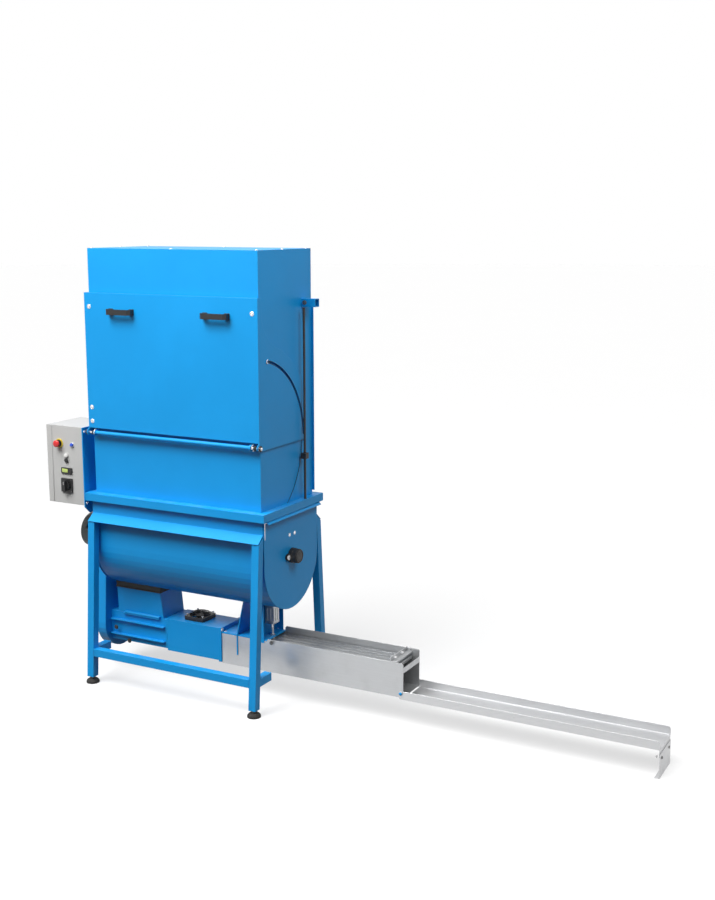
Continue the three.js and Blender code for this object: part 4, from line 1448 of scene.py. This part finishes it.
# ---------------------------------------------------------------------------------- press line
@dataclass
class PressLine(Assembly):
    """The throat, screw housing and press box: bolts, clamp bar, gasket lip and fan guard."""

    def build(self) -> None:
        """Builds the details."""
        self._housing()
        self._press_box()
        self._fan()
        self._gasket()

    def _housing(self) -> None:
        """Black bolts on the housing's ribbed flank, and the clamp bar above them."""
        low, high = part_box("screw_housing")
        places = [(low.x + 0.045, low.y, 0.233), (low.x + 0.13, low.y, 0.170)]
        black = {"finish": self.palette.casting, "slot": Slot.CASTING}
        self.screws("housing_bolts", Head.HEX, 0.0095, places, FRONT, **black)
        start = (low.x + 0.10, -0.0985, 0.3225)
        bar = Workpiece.rod("throat_clamp_bar", start, (high.x - 0.04, -0.0985, 0.3225), 0.0078, 18)
        bar.edge_bevel(0.001)
        bar.fit("frame", self.palette.blue, Slot.BLUE)

    def _press_box(self) -> None:
        """Bolts on the end flange and on the channel's top plate behind it."""
        low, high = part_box("press_box")
        corner = [(high.x, y, high.z - 0.0105) for y in (low.y + 0.011, high.y - 0.011)]
        self.screws("press_flange_bolts", Head.BUTTON, 0.0078, corner, RIGHT)
        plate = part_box("channel_top_plate")
        places = [(plate[0].x + 0.012, y, plate[1].z) for y in (plate[0].y + 0.018, plate[1].y - 0.018)]
        self.screws("top_plate_bolts", Head.HEX, 0.0062, places, UP)

    def _fan(self) -> None:
        """The fan's wire guard and its four screws, with the stand-offs on which the guard sits."""
        low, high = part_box("cooling_fan_frame")
        mid = (low + high) / 2
        half = (high.x - low.x) / 2 - 0.011
        guard = []
        seat = high.z + 0.009
        for radius, rise in ((0.010, 0.010), (0.021, 0.009), (0.032, 0.007), (0.043, 0.004), (0.053, 0.0)):
            guard.append(Workpiece.hoop("wire", (mid.x, mid.y, seat + rise), UP, radius, 0.0013, 40))
        for index in range(4):
            angle = math.pi / 4 + index * math.pi / 2
            out = Vector((math.cos(angle), math.sin(angle), 0))
            reach = ((0.0, 0.0115), (0.021, 0.0105), (0.043, 0.0055), (0.056, 0.0), (half * 1.414, -0.001))
            centre = Vector((mid.x, mid.y, seat))
            guard.append(tube_along("wire", [centre + out * run + UP * rise for run, rise in reach], 0.0014))
            guard.append(Workpiece.hoop("eye", centre + out * half * 1.414, UP, 0.0042, 0.0014, 14))
        guard[0].join(*guard[1:])
        guard[0].obj.name = "fan_guard"
        guard[0].fit("frame", self.palette.black, Slot.BLACK)
        corners = [(mid.x + sx * half, mid.y + sy * half) for sx in (-1, 1) for sy in (-1, 1)]
        foot, tip = high.z - 0.001, seat + 0.002
        posts = [Workpiece.rod("post", (x, y, foot), (x, y, tip), 0.0022, 12) for x, y in corners]
        posts[0].join(*posts[1:])
        posts[0].obj.name = "fan_guard_posts"
        posts[0].fit("frame", self.palette.plated, Slot.PLATED)
        self.screws("fan_screws", Head.BUTTON, 0.0042, [(x, y, seat + 0.0012) for x, y in corners], UP)

    def _gasket(self) -> None:
        """A round lip along the throat gasket's lower edge."""
        low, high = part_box("throat_gasket")
        out = 0.0006
        corners = [
            (low.x - out, low.y - out, low.z + 0.004),
            (high.x + out, low.y - out, low.z + 0.004),
            (high.x + out, high.y + out, low.z + 0.004),
            (low.x - out, high.y + out, low.z + 0.004),
            (low.x - out, low.y - out, low.z + 0.004),
        ]
        tube_along("gasket_lip", corners, 0.0035).fit("frame", self.palette.rubber, Slot.RUBBER)


@dataclass
class Channel(Assembly):
    """The brake channel: its bolts, the cylinder's end caps and fittings, and a hanger's bolt."""

    pivot_back: float = 0.010
    pivot_height: float = 0.161

    def build(self) -> None:
        """Builds the details."""
        self._walls()
        self._cross_bar()
        self._cylinder()
        self._hangers()

    def _walls(self) -> None:
        """Bolts on the walls, the stud below the floor and the caps of the tray's pivots."""
        low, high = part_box("brake_channel")
        front = (low.x + 0.302, low.y, 0.297)
        rear = (low.x + 0.306, high.y - 0.0032, 0.3135)
        self.screws("channel_wall_bolts", Head.HEX, 0.0078, [front], FRONT, **self.oiled)
        self.screws("channel_flange_bolts", Head.HEX, 0.0075, [rear], FRONT)
        self.screws("channel_floor_stud", Head.NUT, 0.0065, [(low.x + 0.03, low.y + 0.05, low.z)], DOWN)
        for side, y, look in (("front", low.y, FRONT), ("rear", high.y, BACK)):
            place = (high.x - self.pivot_back, y, self.pivot_height)
            painted = {"finish": self.palette.blue, "slot": Slot.BLUE}
            self.screws(f"tray_pivot_cap_{side}", Head.BUTTON, 0.0062, [place], look, **painted)

    def _cross_bar(self) -> None:
        """Bright bolts on the cross bar over the channel's end."""
        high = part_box("brake_channel")[1]
        places = [(high.x - 0.05, y, high.z) for y in (-0.075, 0.0, 0.075)]
        self.screws("cross_bar_bolts", Head.HEX, 0.0072, places, UP)

    def _cylinder(self) -> None:
        """The cylinder's end caps, push-in fittings and the rod's lock nut."""
        low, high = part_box("pressure_cylinder")
        lip = 0.0012
        caps = []
        for bottom, top in ((low.z - lip, low.z + 0.014), (high.z - 0.018, high.z - 0.002)):
            cap = Workpiece.box("cap", (low.x - lip, low.y - lip, bottom), (high.x + lip, high.y + lip, top))
            caps.append(cap.edge_bevel(0.002, 3))
        mid = (low + high) / 2
        bore = ((mid.x, mid.y, low.z + reach) for reach in (-0.02, 0.02))
        caps[0].cut(Workpiece.rod("bore", *bore, 0.0088, 24))
        caps[0].join(caps[1])
        caps[0].obj.name = "cylinder_end_caps"
        caps[0].fit("frame", self.palette.aluminium, Slot.ALUMINIUM)
        ports = [(low.x - lip, mid.y, z) for z in (low.z + 0.008, high.z - 0.011)]
        self.screws("cylinder_port_fittings", Head.NUT, 0.0048, ports, LEFT, **self.blackened)
        rod_low, rod_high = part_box("cylinder_rod")
        middle = (rod_low + rod_high) / 2
        self.screws("rod_lock_nut", Head.HEX, 0.0125, [(middle.x, middle.y, rod_low.z + 0.012)], UP, "rod")

    def _hangers(self) -> None:
        """A bolt on the right hanger."""
        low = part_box("channel_hanger_right")[0]
        self.screws("hanger_bolts", Head.BUTTON, 0.0065, [(low.x + 0.02, low.y, low.z + 0.04)], FRONT)


@dataclass
class Tray(Assembly):
    """The outfeed tray: rolled wall lips, fold beads and foot bolts."""

    lip: float = 0.0016
    clear: float = 0.034
    floor: float = 0.1348
    bolt_height: float = 0.088
    bolt_places: tuple[float, float] = (-0.062, 0.062)

    def build(self) -> None:
        """Builds the details."""
        low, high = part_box("outfeed_tray")
        foot_low, foot_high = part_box("tray_foot")
        lips = []
        for y in (low.y + 0.0011, high.y - 0.0011):
            line = [(low.x + self.clear, y, high.z), (high.x - 0.014, y, high.z)]
            lips.append(tube_along("lip", line, self.lip, 9))
        folds = []
        for y in (low.y + 0.0042, high.y - 0.0042):
            line = [(low.x + self.clear, y, self.floor), (high.x - 0.004, y, self.floor)]
            folds.append(tube_along("fold", line, 0.0022, 9))
        lips[0].join(lips[1], *folds)
        lips[0].obj.name = "tray_rolled_lips"
        lips[0].fit("tray", self.palette.tray, Slot.ALUMINIUM)
        bolts = [(foot_high.x, y, self.bolt_height) for y in self.bolt_places]
        nuts = [(foot_low.x, y, self.bolt_height) for y in self.bolt_places]
        self.screws("tray_foot_bolts", Head.HEX, 0.0058, bolts, RIGHT, "tray", **self.oiled)
        self.screws("tray_foot_nuts", Head.NUT, 0.0055, nuts, LEFT, "tray")


# ---------------------------------------------------------------------------------- control box
@dataclass
class ControlBox(Assembly):
    """The control box: lid seal, hinges, button heads, display, switch ribs, glands and bolts."""

    def build(self) -> None:
        """Builds the details."""
        self.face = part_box("control_box_lid")[0].y
        self._lid_trim()
        self._estop()
        self._buttons()
        self._counter()
        self._switch()
        self._below()

    def _lid_trim(self) -> None:
        """The black lid seal, two barrel hinges on the left edge and the lid's fold line."""
        lid_low, lid_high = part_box("control_box_lid")
        seam = lid_high.y
        inner = 0.0012
        corners = [
            (lid_low.x + inner, seam, lid_low.z + inner),
            (lid_high.x - inner, seam, lid_low.z + inner),
            (lid_high.x - inner, seam, lid_high.z - inner),
            (lid_low.x + inner, seam, lid_high.z - inner),
            (lid_low.x + inner, seam, lid_low.z + inner),
        ]
        tube_along("lid_seal", corners, 0.0014).fit("frame", self.palette.rubber, Slot.RUBBER)
        barrels = []
        for z in (lid_low.z + 0.06, lid_high.z - 0.06):
            x = lid_low.x - 0.003
            barrel = Workpiece.rod("barrel", (x, seam, z - 0.022), (x, seam, z + 0.022), 0.0045, 16)
            barrel.edit(facing(UP), inset(0.0012), extrude((0, 0, 0.0016)))
            barrels.append(barrel)
            corners = (x, seam - 0.0105, z - 0.02), (x + 0.004, seam + 0.0105, z + 0.02)
            barrels.append(Workpiece.box("leaf", *corners).edge_bevel(0.0008))
        barrels[0].join(*barrels[1:])
        barrels[0].obj.name = "lid_hinges"
        barrels[0].fit("frame", self.palette.box, Slot.BOX)
        fold_low = (lid_low.x + 0.033, self.face - 0.0006, lid_low.z + 0.004)
        fold_high = (lid_low.x + 0.0352, self.face + 0.0004, lid_high.z - 0.004)
        fold = Workpiece.box("lid_fold_line", fold_low, fold_high)
        fold.edge_bevel(0.0004)
        fold.fit("frame", self.palette.box, Slot.BOX)

    def _estop(self) -> None:
        """The mushroom button's dome and black neck, in place of its plain head."""
        low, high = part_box("estop_button")
        mid = (low + high) / 2
        radius = (high.x - low.x) / 2
        crown = low.y + 0.0045
        back = (mid.x, low.y + 0.012, mid.z)
        cap = Workpiece.rod("estop_mushroom", back, (mid.x, crown, mid.z), radius, 40)
        centre = (mid.x, crown, mid.z)
        steps: list[Callable[[], object]] = []
        for share in (0.93, 0.82, 0.6):
            steps += [extrude((0, -0.0015, 0)), grow((share, 1, share), centre)]
        cap.edit(facing(FRONT), *steps)
        neck = Workpiece.rod("estop_neck", (mid.x, low.y + 0.0118, mid.z), (mid.x, high.y, mid.z), 0.0108, 28)
        neck.edge_bevel(0.0006)
        cap.fit("estop", self.palette.red, Slot.RED, ["estop_button"])
        neck.fit("estop", self.palette.black, Slot.BLACK)
        ring_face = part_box("estop_ring")[0].y
        collar = Workpiece.hoop("estop_collar", (mid.x, ring_face, mid.z), FRONT, 0.0155, 0.0032, 36)
        collar.fit("frame", self.palette.black, Slot.BLACK)

    def _buttons(self) -> None:
        """A metal bezel round the start button, and a lens on each of the three."""
        low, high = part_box("start_button")
        mid = (low + high) / 2
        reach = (high.x - low.x) / 2 + 0.0018
        bezel = Workpiece.hoop("start_bezel", (mid.x, self.face, mid.z), FRONT, reach, 0.0012, 36)
        bezel.fit("frame", self.palette.plated, Slot.PLATED)
        lenses = (
            ("start", self.palette.signal, Slot.SIGNAL),
            ("run", self.palette.white, Slot.WHITE),
            ("halt", self.palette.black, Slot.BLACK),
        )
        for name, finish, slot in lenses:
            low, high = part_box(f"{name}_button")
            mid = (low + high) / 2
            radius = (high.x - low.x) / 2
            ends = ((mid.x, low.y + reach, mid.z) for reach in (0.0005, -0.0008))
            lens = Workpiece.rod(f"{name}_lens", *ends, radius * 0.9, 32)
            lens.edit(facing(FRONT), extrude((0, -0.0009, 0)), grow((0.8, 1, 0.8), (mid.x, low.y, mid.z)))
            lens.fit(name, finish, slot)

    def _counter(self) -> None:
        """The hour counter's window, bezel and two keys."""
        low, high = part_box("hour_counter")
        pane_low = (low.x + 0.006, low.y - 0.0006, low.z + 0.0055)
        window = Workpiece.box("counter_window", pane_low, (low.x + 0.043, low.y + 0.001, high.z - 0.0055))
        window.edge_bevel(0.0005)
        window.fit("frame", self.palette.display, Slot.BLACK)
        keys = []
        for z in (low.z + 0.0095, high.z - 0.0095):
            keys.append(Workpiece.dome("key", (high.x - 0.012, low.y, z), 0.0042, (1, 0.5, 0.75)))
        rim = [
            (low.x + 0.001, low.y, low.z + 0.001),
            (high.x - 0.001, low.y, low.z + 0.001),
            (high.x - 0.001, low.y, high.z - 0.001),
            (low.x + 0.001, low.y, high.z - 0.001),
            (low.x + 0.001, low.y, low.z + 0.001),
        ]
        keys[0].join(keys[1], tube_along("rim", rim, 0.0012))
        keys[0].obj.name = "counter_keys_and_rim"
        keys[0].fit("frame", self.palette.black, Slot.BLACK)

    def _switch(self) -> None:
        """Ribs round the main switch's knob, a white pointer, and the plate's corner screws."""
        low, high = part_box("switch_knob")
        plate_low, plate_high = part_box("switch_plate")
        mid = (low + high) / 2
        ribs = []
        rib = Workpiece.rod("rib", (0.0245, 0, 0), (0.0245, 0.0092, 0), 0.0028, 10)
        centre = Matrix.Translation((mid.x, plate_low.y - 0.0102, mid.z))
        for index in range(14):
            ribs.append(rib.copy("rib", centre @ Matrix.Rotation(index * math.tau / 14, 4, "Y")))
        bpy.data.objects.remove(rib.obj)
        ribs[0].join(*ribs[1:])
        ribs[0].obj.name = "switch_knob_ribs"
        ribs[0].fit("main_switch", self.palette.black, Slot.BLACK)
        mark_low = (mid.x - 0.0013, low.y - 0.0004, mid.z + 0.006)
        pointer = Workpiece.box("switch_pointer", mark_low, (mid.x + 0.0013, low.y + 0.001, high.z - 0.003))
        pointer.edge_bevel(0.0003)
        pointer.fit("main_switch", self.palette.white, Slot.WHITE)
        margin = 0.0055
        across = (plate_low.x + margin, plate_high.x - margin)
        up = (plate_low.z + margin, plate_high.z - margin)
        corners = [(x, plate_low.y, z) for x in across for z in up]
        self.screws("switch_plate_screws", Head.PAN, 0.0028, corners, FRONT, **self.oiled)

    def _below(self) -> None:
        """Cable glands under the box, and the bracket's bolts."""
        low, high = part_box("control_box_body")
        glands = []
        for share in (0.3, 0.6):
            x = low.x + share * (high.x - low.x)
            body = Workpiece.rod("gland", (x, -0.06, low.z), (x, -0.06, low.z - 0.020), 0.0125, 6)
            drop = extrude((0, 0, -0.004))
            body.edit(facing(DOWN), drop, grow((0.7, 0.7, 1), (x, -0.06, low.z)), drop)
            glands.append(body)
        glands[0].join(glands[1])
        glands[0].obj.name = "cable_glands"
        glands[0].fit("frame", self.palette.black, Slot.BLACK)
        places = [(-1.3652, -0.253, 1.312), (-1.3652, -0.253, 0.938)]
        self.screws("bracket_bolts", Head.BUTTON, 0.0062, places, RIGHT)


# ---------------------------------------------------------------------------------- studio
@dataclass
class Studio:
    """A pale floor, a soft high sun, front and side fill lights, and the camera."""

    camera_place: Triple = (2.82285, -5.1695, 2.389)
    camera_pitch: float = 79.46
    camera_turn: float = 27.93
    lens: float = 50.0
    floor_size: float = 2400.0
    horizon_white: float = 0.12
    zenith_white: float = 0.48
    backdrop_radius: float = 60.0

    def build(self) -> None:
        """Sets the stage."""
        self._camera()
        self._floor()
        self._backdrop()
        self._sky()
        self._sun((-0.25, -0.49, 0.84), 2.45, 46.0)
        self._area("front_fill", (-1.3, -2.2, 3.9), (-0.8, 0.0, 1.9), 1.6, 78.0)
        self._area("side_fill", (2.0, -0.6, 3.8), (-0.3, 0.0, 1.8), 1.5, 46.0)

    def _camera(self) -> None:
        """Adds the camera."""
        data = bpy.data.cameras.new("camera")
        data.lens = self.lens
        data.sensor_width = 36.0
        data.clip_end = self.floor_size * 2
        camera = bpy.data.objects.new("camera", data)
        camera.location = self.camera_place
        camera.rotation_euler = (math.radians(self.camera_pitch), 0.0, math.radians(self.camera_turn))
        bpy.context.scene.collection.objects.link(camera)
        bpy.context.scene.camera = camera

    def _floor(self) -> None:
        """Adds the floor, which the painted undersides don't pick up."""
        Workpiece.clear()
        bpy.ops.mesh.primitive_plane_add(size=self.floor_size, location=(0, 0, 0))
        floor = bpy.context.object
        floor.name = "studio_floor"
        floor.data.materials.append(StudioFloor().make())
        floor.visible_diffuse = False

    def _backdrop(self) -> None:
        """Adds the white wall round the studio, which lights nothing but shows in polished metal."""
        Workpiece.clear()
        height = self.backdrop_radius
        bpy.ops.mesh.primitive_cylinder_add(
            vertices=96,
            radius=self.backdrop_radius,
            depth=height,
            end_fill_type="NOTHING",
            location=(0, 0, height / 2 - 1),
        )
        wall = bpy.context.object
        wall.name = "studio_backdrop"
        wall.data.materials.append(Backdrop().make())
        wall.visible_diffuse = False
        wall.visible_shadow = False

    def _sky(self) -> None:
        """An even, soft light from above the horizon and a dark lower half."""
        world = bpy.data.worlds.new("studio")
        bpy.context.scene.world = world
        world.use_nodes = True
        tree = world.node_tree
        tree.nodes.clear()
        coords = tree.nodes.new("ShaderNodeTexCoord")
        split = tree.nodes.new("ShaderNodeSeparateXYZ")
        half = tree.nodes.new("ShaderNodeMath")
        half.operation = "MULTIPLY_ADD"
        half.inputs[1].default_value = 0.5
        half.inputs[2].default_value = 0.5
        ramp = tree.nodes.new("ShaderNodeValToRGB")
        sky = tree.nodes.new("ShaderNodeBackground")
        output = tree.nodes.new("ShaderNodeOutputWorld")
        low_stops = [(0.480, 0.01), (0.492, self.horizon_white)]
        stops = [*low_stops, (0.60, self.horizon_white), (1.0, self.zenith_white)]
        Graph.set_ramp(ramp.color_ramp, [(place, (tone,) * 3) for place, tone in stops])
        tree.links.new(coords.outputs["Generated"], split.inputs[0])
        tree.links.new(split.outputs["Z"], half.inputs[0])
        tree.links.new(half.outputs[0], ramp.inputs[0])
        tree.links.new(ramp.outputs[0], sky.inputs["Color"])
        tree.links.new(sky.outputs[0], output.inputs["Surface"])

    def _sun(self, toward: Triple, power: float, softness: float) -> None:
        """Adds a soft sun in a direction from the machine."""
        data = bpy.data.lights.new("soft_sun", "SUN")
        data.energy = power
        data.angle = math.radians(softness)
        self._hang(data, toward, (0.0, 0.0, 0.0))

    def _area(self, name: str, place: Triple, target: Triple, size: float, power: float) -> None:
        """Adds a square area light aimed at a point."""
        data = bpy.data.lights.new(name, "AREA")
        data.energy = power
        data.size = size
        self._hang(data, place, target)

    @staticmethod
    def _hang(data: bpy.types.Light, place: Triple, target: Triple) -> None:
        """Hangs a light at a place and aims it."""
        light = bpy.data.objects.new(data.name, data)
        light.location = place
        light.rotation_euler = (Vector(target) - Vector(place)).to_track_quat("-Z", "Y").to_euler()
        bpy.context.scene.collection.objects.link(light)


def main() -> None:
    """Loads the frame, dresses it and adds every sub-assembly's details."""
    logging.basicConfig(level=logging.INFO, format="%(message)s")
    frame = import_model()
    bpy.context.scene.view_settings.view_transform = "Standard"
    Workpiece.clear()
    Studio().build()
    palette = Palette()
    palette.dress(frame)
    fasteners = FastenerBox()
    for kind in (Hopper, LoadingDoor, Trough, Stand, Drive, PressLine, Channel, Tray, ControlBox):
        kind(palette, fasteners).build()
    fasteners.put_away()
    Workpiece.clear()


if __name__ == "__main__":
    main()
